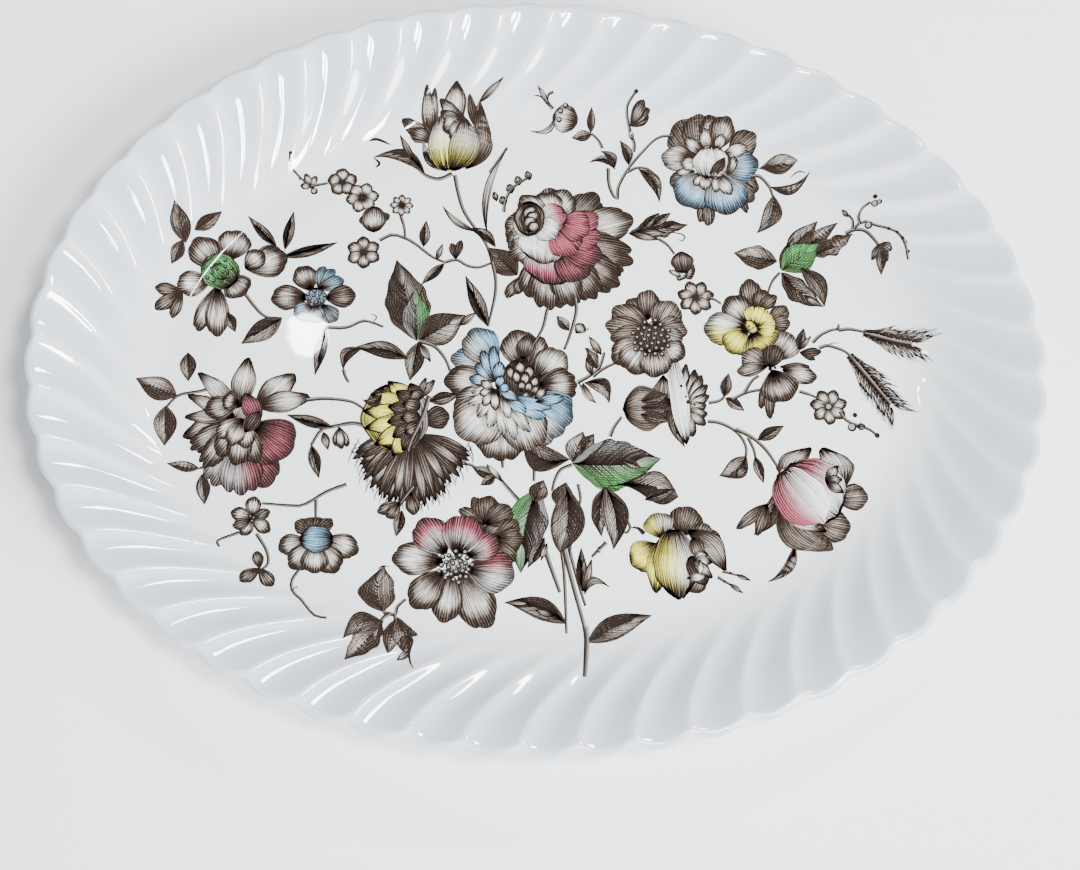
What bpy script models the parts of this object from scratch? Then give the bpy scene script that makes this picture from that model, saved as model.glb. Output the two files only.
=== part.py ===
"""China serving platter: an oval earthenware dish with a swirl-fluted, scalloped rim.

One fired body, modelled in the three zones that a potter names: the flat well, the
fluted rim that rises round it, and the foot ring underneath. Metres, +Z up. The
origin is on the table, under the middle of the well, and X runs along the dish.
"""

import math

import bmesh
import bpy
import numpy as np

# ---- Driving dimensions ----
LENGTH = 0.360  # over the scallops
WIDTH = 0.282
HEIGHT = 0.029  # table to the tips of the ridges at the edge
RIM_WIDTH = 0.047  # from the well to the notches of the edge
FLUTES = 52
FLUTE_DEPTH = 0.0016  # of a trough below the ridges beside it, near the edge
SCALLOP = 0.0020  # how far each flute's end bulges past the notches
WELL_THICKNESS = 0.005
EDGE_THICKNESS = 0.0046
FOOT_HEIGHT = 0.003
FOOT_BASE_WIDTH = 0.0036
FOOT_ROOT_WIDTH = 0.007
FOOT_CHAMFER = 0.0003
FOOT_INSET = 0.0085  # the foot's middle line, inside the edge of the well
GAP = 0.0003  # between neighbouring zones

# ---- Worked out from them ----
NOTCH_A = LENGTH / 2 - SCALLOP  # half-axes of the oval through the notches
NOTCH_B = WIDTH / 2 - SCALLOP
FLOOR = FOOT_HEIGHT + WELL_THICKNESS  # the well's upper face
RISE = HEIGHT - FLOOR

# ---- How the flutes are drawn ----
RIDGE_ROUNDING = 0.18  # share of the trough's depth taken off the sharp ridge
FULL_DEPTH_AT = 0.6  # share of the rim at which the troughs reach full depth
UNDERSIDE_SHARE = 0.75  # how much of a trough shows as a rib underneath
SWIRL_START = 0.2  # flutes that the swirl turns per rim width, at the edge
SWIRL_BEND = 2.5  # and how many more it turns by the well
FIRST_RIDGE = -0.07  # in flutes, from the +X end

# ---- Mesh density ----
COLUMNS_PER_FLUTE = 6
TOP_ROWS = (0.0, 0.14, 0.28, 0.44, 0.62, 0.82, 1.0)
LIP_ANGLES = (45.0, 0.0, -45.0)
UNDERSIDE_ROWS = (1.0, 0.7, 0.35, 0.0)
OVAL_COLUMNS = 104
WELD = 0.00001

COLLECTION = "serving_platter"
GLAZE_COLOUR = (0.86, 0.88, 0.91, 1.0)
GLAZE_ROUGHNESS = 0.08


def arc_table(steps=7200):
    """Angle against share of the perimeter, for the oval through the notches."""
    angle = np.linspace(0.0, 2.0 * math.pi, steps + 1)
    speed = np.hypot(NOTCH_A * np.sin(angle), NOTCH_B * np.cos(angle))
    length = np.concatenate([[0.0], np.cumsum((speed[1:] + speed[:-1]) / 2.0)])
    return angle, length / length[-1]


ARC_ANGLE, ARC_SHARE = arc_table()


def oval_point(across, share):
    """A plan point. across is 0 at the well's edge and 1 at the notches; share goes once round."""
    angle = float(np.interp(share % 1.0, ARC_SHARE, ARC_ANGLE))
    inset = RIM_WIDTH * (1.0 - across)
    return (NOTCH_A - inset) * math.cos(angle), (NOTCH_B - inset) * math.sin(angle)


def smooth_step(t):
    t = min(max(t, 0.0), 1.0)
    return t * t * (3.0 - 2.0 * t)


def ridge_height(across):
    """Height of the ridges: level with the well at first, steepest halfway, easing at the edge."""
    t = max(across, 0.0)
    return FLOOR + RISE * (3.0 * t**2 - 3.0 * t**3 + t**4)


def trough(turn):
    """Depth across one flute, from 0 on a ridge to 1 in the middle of a trough."""
    soft = RIDGE_ROUNDING
    wave = math.hypot(math.sin(math.pi * turn), soft) - soft
    return wave / (math.hypot(1.0, soft) - soft)


def flute_depth(across):
    return FLUTE_DEPTH * smooth_step(across / FULL_DEPTH_AT)


def swirl(across):
    """How many flutes the swirl has turned between the edge and this place on the rim."""
    left = 1.0 - across
    return SWIRL_START * left + SWIRL_BEND * left * abs(left)


def thickness(across):
    return WELL_THICKNESS + (EDGE_THICKNESS - WELL_THICKNESS) * across


def rim_section(turn):
    """The rim's section along one flute line, as (across, height) round from the well's edge."""
    deep = trough(turn)
    lip_radius = (EDGE_THICKNESS - (1.0 - UNDERSIDE_SHARE) * FLUTE_DEPTH * deep) / 2.0
    lip_at = 1.0 + (SCALLOP * deep - lip_radius) / RIM_WIDTH
    section = []
    for row in TOP_ROWS:
        across = row * lip_at
        section.append((across, ridge_height(across) - flute_depth(across) * deep))
    lip_middle = section[-1][1] - lip_radius
    for degrees in LIP_ANGLES:
        lean = math.radians(degrees)
        out = lip_at + lip_radius * math.cos(lean) / RIM_WIDTH
        section.append((out, lip_middle + lip_radius * math.sin(lean)))
    for row in UNDERSIDE_ROWS:
        across = row * lip_at
        rib = UNDERSIDE_SHARE * flute_depth(across) * deep
        below = ridge_height(across) - rib - thickness(across)
        if row == 1.0:
            below = lip_middle - lip_radius
        section.append((across, below))
    return section


def ring(name, columns, section_of, place):
    """A closed ring: a flat grid rolled up both ways, with the edges that meet welded."""
    rows = len(section_of(0))
    shape = bmesh.new()
    bmesh.ops.create_grid(shape, x_segments=columns, y_segments=rows, size=0.5)
    for corner in shape.verts:
        column = round((corner.co.x + 0.5) * columns) % columns
        row = round((corner.co.y + 0.5) * rows) % rows
        corner.co = place(column, section_of(column)[row])
    bmesh.ops.remove_doubles(shape, verts=shape.verts[:], dist=WELD)
    bmesh.ops.recalc_face_normals(shape, faces=shape.faces[:])
    mesh = bpy.data.meshes.new(name)
    shape.to_mesh(mesh)
    shape.free()
    made = bpy.data.objects.new(name, mesh)
    bpy.context.scene.collection.objects.link(made)
    return made


def make_rim():
    """The fluted rim. Its columns follow the flutes, so every ridge is a line of edges."""
    columns = FLUTES * COLUMNS_PER_FLUTE

    def section_of(column):
        return rim_section((column % COLUMNS_PER_FLUTE) / COLUMNS_PER_FLUTE)

    def place(column, point):
        across, height = point
        share = (column / COLUMNS_PER_FLUTE + FIRST_RIDGE + swirl(across)) / FLUTES
        x, y = oval_point(across, share)
        return x, y, height

    return ring("rim", columns, section_of, place)


def make_foot_ring():
    """The low ring that the dish stands on, flat below and wider where it joins the body."""
    root, base = FOOT_ROOT_WIDTH / 2.0, FOOT_BASE_WIDTH / 2.0
    top = FOOT_HEIGHT - GAP
    section = [
        (-root, top),
        (root, top),
        (base + FOOT_CHAMFER, FOOT_CHAMFER),
        (base, 0.0),
        (-base, 0.0),
        (-base - FOOT_CHAMFER, FOOT_CHAMFER),
    ]

    def place(column, point):
        across = (point[0] - FOOT_INSET) / RIM_WIDTH
        x, y = oval_point(across, column / OVAL_COLUMNS)
        return x, y, point[1]

    return ring("foot_ring", OVAL_COLUMNS, lambda column: section, place)


def make_well():
    """The flat middle that the food lies on, a plain oval slab."""
    bpy.ops.mesh.primitive_cylinder_add(
        vertices=OVAL_COLUMNS,
        radius=1.0,
        depth=WELL_THICKNESS,
        location=(0.0, 0.0, FOOT_HEIGHT + WELL_THICKNESS / 2.0),
    )
    made = bpy.context.object
    made.name = "well"
    made.data.name = "well"
    made.scale = (NOTCH_A - RIM_WIDTH - GAP, NOTCH_B - RIM_WIDTH - GAP, 1.0)
    bpy.ops.object.transform_apply(location=False, rotation=False, scale=True)
    return made


def glaze(name):
    material = bpy.data.materials.new(name)
    material.use_nodes = True
    shader = material.node_tree.nodes["Principled BSDF"]
    shader.inputs["Base Color"].default_value = GLAZE_COLOUR
    shader.inputs["Roughness"].default_value = GLAZE_ROUGHNESS
    shader.inputs["Metallic"].default_value = 0.0
    return material


def main():
    for old in list(bpy.data.objects):
        bpy.data.objects.remove(old, do_unlink=True)
    collection = bpy.data.collections.new(COLLECTION)
    bpy.context.scene.collection.children.link(collection)
    for made in (make_well(), make_rim(), make_foot_ring()):
        for holder in list(made.users_collection):
            holder.objects.unlink(made)
        collection.objects.link(made)
        made.data.materials.append(glaze("glaze_" + made.name))
        made.data.shade_smooth()
        made.data.set_sharp_from_angle(angle=math.radians(35.0))


main()
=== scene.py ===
"""A china serving platter: a fluted glazed body, with printed and hand-painted flowers.

Everything is in metres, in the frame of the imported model: +Z up, the origin on the table
under the middle of the well, +X along the platter.
"""

import math

import bmesh
import bpy
import numpy as np
from mathutils import Matrix, Vector


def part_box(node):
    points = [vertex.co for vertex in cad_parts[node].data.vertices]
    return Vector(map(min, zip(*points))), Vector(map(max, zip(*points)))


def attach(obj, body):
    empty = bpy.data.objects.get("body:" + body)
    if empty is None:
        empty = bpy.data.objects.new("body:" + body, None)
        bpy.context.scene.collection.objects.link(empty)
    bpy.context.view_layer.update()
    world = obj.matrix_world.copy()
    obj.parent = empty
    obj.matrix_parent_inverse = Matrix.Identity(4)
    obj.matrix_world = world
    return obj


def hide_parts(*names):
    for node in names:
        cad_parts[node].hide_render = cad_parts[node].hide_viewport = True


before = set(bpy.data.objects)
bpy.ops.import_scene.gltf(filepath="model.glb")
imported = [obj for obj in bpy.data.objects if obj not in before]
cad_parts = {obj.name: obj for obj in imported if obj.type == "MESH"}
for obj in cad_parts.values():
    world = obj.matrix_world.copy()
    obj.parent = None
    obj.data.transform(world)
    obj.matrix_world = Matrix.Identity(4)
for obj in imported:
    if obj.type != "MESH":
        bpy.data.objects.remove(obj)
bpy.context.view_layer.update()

# ---------------------------------------------------------------------------------------
# The body: a flat oval well and a rim that swirls up round it in 52 flutes, each a trough
# between two ridges. White earthenware, pressed over a mould in one piece, fired, and dipped
# in clear glaze, which lies thicker and looks bluer in the hollows. The rim is also painted darker, as
# painted shade.

FLUTES = 52
FIRST_RIDGE = -0.07
RIM_WIDTH = 0.047
EDGE_THICKNESS = 0.0046
WALL_GAIN = 0.0004
FLUTE_DEPTH = 0.0016
SCALLOP = 0.0020
UNDERSIDE_SHARE = 0.75
SWIRL_START = 0.2
SWIRL_BEND = 2.5
ZONE_GAP = 0.0003
SKIN_MARGIN = 0.00006
RIDGE_SOFTNESS = 0.07
WELL_SIDE_SOFTNESS = 0.5
FLUTES_START = 0.08
FLUTES_DEEPEN_OVER = 0.6

well_low, well_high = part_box("well")
rim_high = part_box("rim")[1]

WELL_A = well_high.x + ZONE_GAP
WELL_B = well_high.y + ZONE_GAP
EDGE_A = WELL_A + RIM_WIDTH
EDGE_B = WELL_B + RIM_WIDTH
FLOOR = well_high.z
UNDER_WELL = well_low.z


def climb(across):
    """How far the rim has risen, as a share, at a place across it: it leaves the well gently."""
    t = np.clip(across, 0.0, None)
    return 3.0 * t**2 - 3.0 * t**3 + t**4


RIDGE_END = 1.0 - EDGE_THICKNESS / 2.0 / RIM_WIDTH
RISE = (rim_high.z - FLOOR) / float(climb(RIDGE_END))
LIP_LEAN = math.atan(RISE / RIM_WIDTH)

ARC_STEPS = 7200
arc_angle = np.linspace(0.0, 2.0 * math.pi, ARC_STEPS + 1)
arc_speed = np.hypot(EDGE_A * np.sin(arc_angle), EDGE_B * np.cos(arc_angle))
arc_share = np.concatenate([[0.0], np.cumsum((arc_speed[1:] + arc_speed[:-1]) / 2.0)])
arc_share /= arc_share[-1]


def swirl(across):
    """How many flutes a flute line has drifted round, back from its place at the edge."""
    left = 1.0 - across
    return SWIRL_START * left + SWIRL_BEND * left * np.abs(left)


def trough(turn, across):
    """0 on a ridge, 1 in the middle of a trough; ridges are soft by the well, crisp at the edge."""
    soft = RIDGE_SOFTNESS + WELL_SIDE_SOFTNESS * np.clip(1.0 - across, 0.0, 1.0) ** 2
    wave = np.hypot(np.sin(math.pi * turn), soft) - soft
    return wave / (np.hypot(1.0, soft) - soft)


def flute_depth(across):
    t = np.clip((across - FLUTES_START) / FLUTES_DEEPEN_OVER, 0.0, 1.0)
    return FLUTE_DEPTH * t * t * (3.0 - 2.0 * t)


def top_height(across, turn):
    return FLOOR + RISE * climb(across) - flute_depth(across) * trough(turn, across)


def rim_place(across, turn):
    """Plan position of a flute line (turn counts flutes) at a place across the rim."""
    share = (turn + FIRST_RIDGE + swirl(np.maximum(across, 0.0))) / FLUTES
    angle = np.interp(share % 1.0, arc_share, arc_angle)
    inset = RIM_WIDTH * (1.0 - across)
    return (EDGE_A - inset) * np.cos(angle), (EDGE_B - inset) * np.sin(angle)


ACROSS_LIMITS = (-2.2, 1.3)
HALVINGS = 26


def rim_coordinates(x, y):
    """Place across the rim (0 at the well, 1 at the edge) and flute turn of plan points."""
    low, high = np.full(x.shape, ACROSS_LIMITS[0]), np.full(x.shape, ACROSS_LIMITS[1])
    for _ in range(HALVINGS):
        middle = (low + high) / 2.0
        inset = RIM_WIDTH * (1.0 - middle)
        outside = (x / (EDGE_A - inset)) ** 2 + (y / (EDGE_B - inset)) ** 2 > 1.0
        low, high = np.where(outside, middle, low), np.where(outside, high, middle)
    across = (low + high) / 2.0
    inset = RIM_WIDTH * (1.0 - across)
    angle = np.arctan2(y / (EDGE_B - inset), x / (EDGE_A - inset)) % (2.0 * math.pi)
    share = np.interp(angle, arc_angle, arc_share)
    return across, share * FLUTES - FIRST_RIDGE - swirl(np.maximum(across, 0.0))


WELL_SHARES = (0.0, 0.3, 0.55, 0.75, 0.88, 0.96)
BASE_SHARES = (0.9, 0.6, 0.0)
TOP_ROWS = 34
LIP_ROWS = 9
UNDER_ROWS = 15


def body_section(turn):
    """The body's section along each flute line, as rows of (x, y, z).

    The rows run from the middle of the well over the lip to the middle of the base.
    """
    deep = trough(turn, 1.0)
    round_off = (EDGE_THICKNESS - (1.0 - UNDERSIDE_SHARE) * FLUTE_DEPTH * deep) / 2.0
    round_off = round_off * math.cos(LIP_LEAN)
    lip_middle = 1.0 + (SCALLOP * deep - SKIN_MARGIN - round_off) / RIM_WIDTH
    top_end = lip_middle - round_off * math.sin(LIP_LEAN) / RIM_WIDTH
    rows = []
    well_x, well_y = rim_place(0.0 * turn, turn)
    for share in WELL_SHARES:
        rows.append((well_x * share, well_y * share, FLOOR + 0.0 * turn))
    for step in np.linspace(0.0, 1.0, TOP_ROWS):
        across = step * top_end
        x, y = rim_place(across, turn)
        rows.append((x, y, top_height(across, turn)))
    middle_height = rows[-1][2] - round_off * math.cos(LIP_LEAN)
    for step in np.linspace(0.0, 1.0, LIP_ROWS)[1:]:
        lean = math.pi / 2.0 + LIP_LEAN - math.pi * step
        x, y = rim_place(lip_middle + round_off * math.cos(lean) / RIM_WIDTH, turn)
        rows.append((x, y, middle_height + round_off * math.sin(lean)))
    under_end = lip_middle + round_off * math.sin(LIP_LEAN) / RIM_WIDTH
    for step in np.linspace(1.0, 0.0, UNDER_ROWS)[1:]:
        across = step * under_end
        x, y = rim_place(across, turn)
        wall = EDGE_THICKNESS + WALL_GAIN * (1.0 - across)
        rib = UNDERSIDE_SHARE * flute_depth(across) * trough(turn, across)
        rows.append((x, y, FLOOR + RISE * climb(across) - rib - wall))
    for share in BASE_SHARES:
        rows.append((well_x * share, well_y * share, UNDER_WELL + 0.0 * turn))
    return np.array([np.stack(row, -1) for row in rows])


COLUMNS_PER_FLUTE = 16
BODY_COLUMNS = FLUTES * COLUMNS_PER_FLUTE
columns = np.arange(BODY_COLUMNS) * FLUTES / BODY_COLUMNS
section = body_section(columns)
ball = bmesh.new()
bmesh.ops.create_uvsphere(ball, u_segments=BODY_COLUMNS, v_segments=len(section) - 1, radius=1.0)
for corner in ball.verts:
    row = round(math.acos(max(-1.0, min(1.0, corner.co.z))) / math.pi * (len(section) - 1))
    column = round(math.atan2(corner.co.y, corner.co.x) / 2.0 / math.pi * BODY_COLUMNS)
    corner.co = section[row, column % BODY_COLUMNS]
bmesh.ops.recalc_face_normals(ball, faces=ball.faces[:])
body_mesh = bpy.data.meshes.new("glazed_body")
ball.to_mesh(body_mesh)
ball.free()
body_mesh.shade_smooth()
glazed_body = bpy.data.objects.new("glazed_body", body_mesh)
bpy.context.scene.collection.objects.link(glazed_body)

# The glaze is a little thicker, and bluer, down in the troughs and round the well's verge.
# The rim is also painted darker as a whole, and the thick glaze colour is darker than
# pooled glaze alone would be. Both of these are painted shade.
VERGE_POOL = 0.55
VERGE_REACH = 0.14
# Painted shade: from this share across the rim outward, the whole rim is darkened.
RIM_PAINTED_SHADE = 0.4
RIM_PAINTED_SHADE_FROM = 0.3
spots = np.zeros(len(body_mesh.vertices) * 3)
body_mesh.vertices.foreach_get("co", spots)
spots = spots.reshape(-1, 3)
across, turn = rim_coordinates(spots[:, 0], spots[:, 1])
pool_and_shade = trough(turn, across) * flute_depth(across) / FLUTE_DEPTH
pool_and_shade = np.maximum(pool_and_shade, VERGE_POOL * np.exp(-((across / VERGE_REACH) ** 2)))
# Painted shade: the outer rim gets a fixed share of the darker colour, whether or not it lies in a trough.
pool_and_shade = RIM_PAINTED_SHADE * np.clip(across / RIM_PAINTED_SHADE_FROM, 0.0, 1.0) + (1.0 - RIM_PAINTED_SHADE) * pool_and_shade
depth = body_mesh.color_attributes.new("glaze_pool_and_painted_shade", "FLOAT_COLOR", "POINT")
pool_and_shade_colour = np.stack([pool_and_shade, pool_and_shade, pool_and_shade, np.ones(pool_and_shade.shape)], -1)
depth.data.foreach_set("color", pool_and_shade_colour.astype(np.float32).ravel())

GLAZE_ROUGHNESS = 0.03
THIN_GLAZE = (0.80, 0.845, 0.85, 1.0)
# The thick glaze colour is partly painted shade: it is deeper than pooled glaze alone, so that the rim and
# troughs look shaded.
THICK_GLAZE_AND_PAINTED_SHADE = (0.55, 0.61, 0.71, 1.0)
IRON_SPECK = (0.42, 0.36, 0.30, 1.0)
SPECK_SCALE = 420.0
RIPPLE_SCALE = 70.0
RIPPLE_HEIGHT = 0.00009

glaze = bpy.data.materials.new("clear_glaze_on_white_earthenware")
glaze.use_nodes = True
nodes, links = glaze.node_tree.nodes, glaze.node_tree.links
shader = nodes["Principled BSDF"]
shader.inputs["Roughness"].default_value = GLAZE_ROUGHNESS
pool_and_shade_reader = nodes.new("ShaderNodeAttribute")
pool_and_shade_reader.attribute_name = "glaze_pool_and_painted_shade"
thickness = nodes.new("ShaderNodeValToRGB")
thickness.color_ramp.elements[0].color = THIN_GLAZE
thickness.color_ramp.elements[1].color = THICK_GLAZE_AND_PAINTED_SHADE
links.new(pool_and_shade_reader.outputs["Fac"], thickness.inputs["Fac"])
place = nodes.new("ShaderNodeTexCoord")
iron = nodes.new("ShaderNodeTexNoise")
iron.inputs["Scale"].default_value = SPECK_SCALE
iron.inputs["Detail"].default_value = 1.0
links.new(place.outputs["Object"], iron.inputs["Vector"])
rare = nodes.new("ShaderNodeValToRGB")
rare.color_ramp.elements[0].position = 0.80
rare.color_ramp.elements[1].position = 0.83
links.new(iron.outputs["Fac"], rare.inputs["Fac"])
specked = nodes.new("ShaderNodeMix")
specked.data_type = "RGBA"
specked.inputs["B"].default_value = IRON_SPECK
links.new(rare.outputs["Color"], specked.inputs["Factor"])
links.new(thickness.outputs["Color"], specked.inputs["A"])
links.new(specked.outputs["Result"], shader.inputs["Base Color"])
waves = nodes.new("ShaderNodeTexNoise")
waves.inputs["Scale"].default_value = RIPPLE_SCALE
waves.inputs["Detail"].default_value = 2.0
links.new(place.outputs["Object"], waves.inputs["Vector"])
bump = nodes.new("ShaderNodeBump")
bump.inputs["Strength"].default_value = 0.5
bump.inputs["Distance"].default_value = RIPPLE_HEIGHT
links.new(waves.outputs["Fac"], bump.inputs["Height"])
links.new(bump.outputs["Normal"], shader.inputs["Normal"])
body_mesh.materials.append(glaze)
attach(glazed_body, "root")
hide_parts("well", "rim")

# ---------------------------------------------------------------------------------------
# The foot: a low oval ring under the well, of the same earthenware and pressed with the
# body. Its sides are glazed, and its narrow sole was wiped clean so that the platter would
# not stick in the kiln.

SOLE_HALF = 0.0018
SOLE_ROUND = 0.0005
SOLE_RISE = 0.00054
ROOT_HALF = 0.0035
FOOT_COLUMNS = 360
foot_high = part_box("foot_ring")[1]
foot_a = foot_high.x - ROOT_HALF
foot_b = foot_high.y - ROOT_HALF
sole_curve = [math.radians(d) for d in (270, 300, 330, 360)]
right_side = []
for a in sole_curve:
    aside = SOLE_HALF - SOLE_ROUND + SOLE_ROUND * math.cos(a)
    right_side.append((aside, SOLE_RISE + SOLE_ROUND * math.sin(a)))
right_side += [(0.00195, 0.0012), (0.0022, 0.0019), (0.00265, 0.0025)]
right_side += [(0.0034, 0.00292), (0.0034, 0.0034)]
profile = right_side + [(-x, z) for x, z in reversed(right_side)]
foot_bm = bmesh.new()
bmesh.ops.create_grid(foot_bm, x_segments=FOOT_COLUMNS, y_segments=len(profile), size=0.5)
for corner in foot_bm.verts:
    column = round((corner.co.x + 0.5) * FOOT_COLUMNS) % FOOT_COLUMNS
    offset, height = profile[round((corner.co.y + 0.5) * len(profile)) % len(profile)]
    angle = 2.0 * math.pi * column / FOOT_COLUMNS
    corner.co = ((foot_a + offset) * math.cos(angle), (foot_b + offset) * math.sin(angle), height)
bmesh.ops.remove_doubles(foot_bm, verts=foot_bm.verts[:], dist=1e-7)
bmesh.ops.recalc_face_normals(foot_bm, faces=foot_bm.faces[:])
foot_mesh = bpy.data.meshes.new("foot")
foot_bm.to_mesh(foot_mesh)
foot_bm.free()
foot_mesh.shade_smooth()
foot = bpy.data.objects.new("foot", foot_mesh)
bpy.context.scene.collection.objects.link(foot)

BARE_CLAY = (0.62, 0.56, 0.47, 1.0)
GLAZED_SIDE = (0.80, 0.835, 0.845, 1.0)
BARE_ROUGHNESS = 0.6
SIDE_ROUGHNESS = 0.06
RAGGED_BY = 0.0006
WIPED_EDGE = 0.00012

wiped = bpy.data.materials.new("glaze_wiped_off_the_sole")
wiped.use_nodes = True
nodes, links = wiped.node_tree.nodes, wiped.node_tree.links
shader = nodes["Principled BSDF"]
place = nodes.new("ShaderNodeTexCoord")
rise = nodes.new("ShaderNodeSeparateXYZ")
links.new(place.outputs["Object"], rise.inputs["Vector"])
grime = nodes.new("ShaderNodeTexNoise")
grime.inputs["Scale"].default_value = 260.0
grime.inputs["Detail"].default_value = 4.0
links.new(place.outputs["Object"], grime.inputs["Vector"])
ragged = nodes.new("ShaderNodeMath")
ragged.operation = "MULTIPLY_ADD"
ragged.inputs[1].default_value = -RAGGED_BY
links.new(grime.outputs["Fac"], ragged.inputs[0])
links.new(rise.outputs["Z"], ragged.inputs[2])
glazed = nodes.new("ShaderNodeMapRange")
glazed.inputs["From Min"].default_value = 0.0
glazed.inputs["From Max"].default_value = WIPED_EDGE
links.new(ragged.outputs["Value"], glazed.inputs["Value"])
coat = nodes.new("ShaderNodeMix")
coat.data_type = "RGBA"
coat.inputs["A"].default_value = BARE_CLAY
coat.inputs["B"].default_value = GLAZED_SIDE
links.new(glazed.outputs["Result"], coat.inputs["Factor"])
links.new(coat.outputs["Result"], shader.inputs["Base Color"])
gloss = nodes.new("ShaderNodeMapRange")
gloss.inputs["To Min"].default_value = BARE_ROUGHNESS
gloss.inputs["To Max"].default_value = SIDE_ROUGHNESS
links.new(glazed.outputs["Result"], gloss.inputs["Value"])
links.new(gloss.outputs["Result"], shader.inputs["Roughness"])
foot_mesh.materials.append(wiped)
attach(foot, "root")
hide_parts("foot_ring")

# ---------------------------------------------------------------------------------------
# The open peony in the middle, and what every spray shares with it. Engraved on copper,
# pulled in sepia on thin tissue, rubbed on to the fired body under the glaze, and washed
# with enamel by hand. A spray is two skins: the half tone, and the cut lines over it.

# A spray's plan, its coats and the first coat's height are in millimetres. Each shape lies two
# coats over any whose bounds it meets, and its cut lines one coat above it. A shape is cut
# into more cells when it is at least BROAD across, and into fewest when it is under SMALL.
MM = 0.001
BROAD = 5.0
SMALL = 2.0
BROAD_CELLS = (12, 16)
SMALL_CELLS = (8, 6)
TINY_CELLS = (6, 4)
STEM_CELLS = (12, 2)
FIRST_COAT = 0.05
COAT = 0.006
SKIN_DEPTH = 0.0004
CREASE = math.radians(35.0)
LINE_PITCH = 1.1
DOT_PITCH = 0.4 * LINE_PITCH
FINEST_LINE = 0.05
LINE_CELLS = (3, 6, 12, 24, 48, 96)
PAPER = np.array((0.775, 0.80, 0.79))
RING_PAPER = 0.48 * PAPER
HALF_TONE = np.array((0.030, 0.0205, 0.0145))
HATCH_PITCH = 0.95
HATCH_WANDER = 3.2
HATCH_PALE = 0.72
HATCH_DARK = 1.5
GRAIN_SCALE = 1500.0
SEPIA = (0.017, 0.010, 0.0070, 1.0)
WASHES = {
    "rose": np.array((0.27, 0.014, 0.050)),
    "blue": np.array((0.21, 0.47, 0.70)),
    "green": np.array((0.05, 0.42, 0.07)),
    "yellow": np.array((0.84, 0.78, 0.06)),
}


def blank_strips(count, across, along):
    """Blank strips cut from one grid, and how many cells wide that grid is."""
    strips = bmesh.new()
    wide = count * (across + 1) - 1
    bmesh.ops.create_grid(strips, x_segments=wide, y_segments=along, size=0.5)
    between = []
    for face in strips.faces:
        column = round((face.calc_center_median().x + 0.5) * wide - 0.5)
        if column % (across + 1) == across:
            between.append(face)
    bmesh.ops.delete(strips, geom=between, context="FACES")
    return strips, wide


def lay_strips(name, grids, colours=None):
    """A closed skin over the glaze, from grids of (x, y, coats) kept by their rows and columns."""
    whole = bmesh.new()
    places = []
    tints = []
    for (rows, columns), group in sorted(grids.items()):
        strips, wide = blank_strips(len(group), columns - 1, rows - 1)
        mesh = bpy.data.meshes.new("strips")
        strips.to_mesh(mesh)
        strips.free()
        spots = np.zeros(len(mesh.vertices) * 3)
        mesh.vertices.foreach_get("co", spots)
        spots = spots.reshape(-1, 3)
        column = np.rint((spots[:, 0] + 0.5) * wide).astype(int)
        row = np.rint((spots[:, 1] + 0.5) * (rows - 1)).astype(int)
        cell = (column // columns, row, column % columns)
        places.append(np.array(group)[cell])
        if colours:
            tints.append(np.array(colours[(rows, columns)])[cell])
        whole.from_mesh(mesh)
        bpy.data.meshes.remove(mesh)
    mesh = bpy.data.meshes.new(name)
    whole.to_mesh(mesh)
    whole.free()
    spots = np.concatenate(places)
    x, y = spots[:, 0] * MM, spots[:, 1] * MM
    z = top_height(*rim_coordinates(x, y)) + (FIRST_COAT + COAT * spots[:, 2]) * MM
    mesh.vertices.foreach_set("co", np.stack([x, y, z], -1).astype(np.float32).ravel())
    if colours:
        tint = mesh.color_attributes.new("tint", "FLOAT_COLOR", "POINT")
        tint.data.foreach_set("color", np.concatenate(tints).astype(np.float32).ravel())
    mesh.update()
    facing = np.zeros(len(mesh.polygons) * 3)
    mesh.polygons.foreach_get("normal", facing)
    turned_down = np.flatnonzero(facing.reshape(-1, 3)[:, 2] < 0.0)
    if len(turned_down):
        skin = bmesh.new()
        skin.from_mesh(mesh)
        skin.faces.ensure_lookup_table()
        bmesh.ops.reverse_faces(skin, faces=[skin.faces[i] for i in turned_down.tolist()])
        skin.to_mesh(mesh)
        skin.free()
    skin = bpy.data.objects.new(name, mesh)
    bpy.context.scene.collection.objects.link(skin)
    wall = skin.modifiers.new("depth", "SOLIDIFY")
    wall.thickness = SKIN_DEPTH
    wall.offset = -1.0
    ready = bpy.context.evaluated_depsgraph_get()
    skin.data = bpy.data.meshes.new_from_object(skin.evaluated_get(ready), depsgraph=ready)
    skin.modifiers.clear()
    bpy.data.meshes.remove(mesh)
    skin.data.shade_smooth()
    skin.data.set_sharp_from_angle(angle=CREASE)
    return skin


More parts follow.
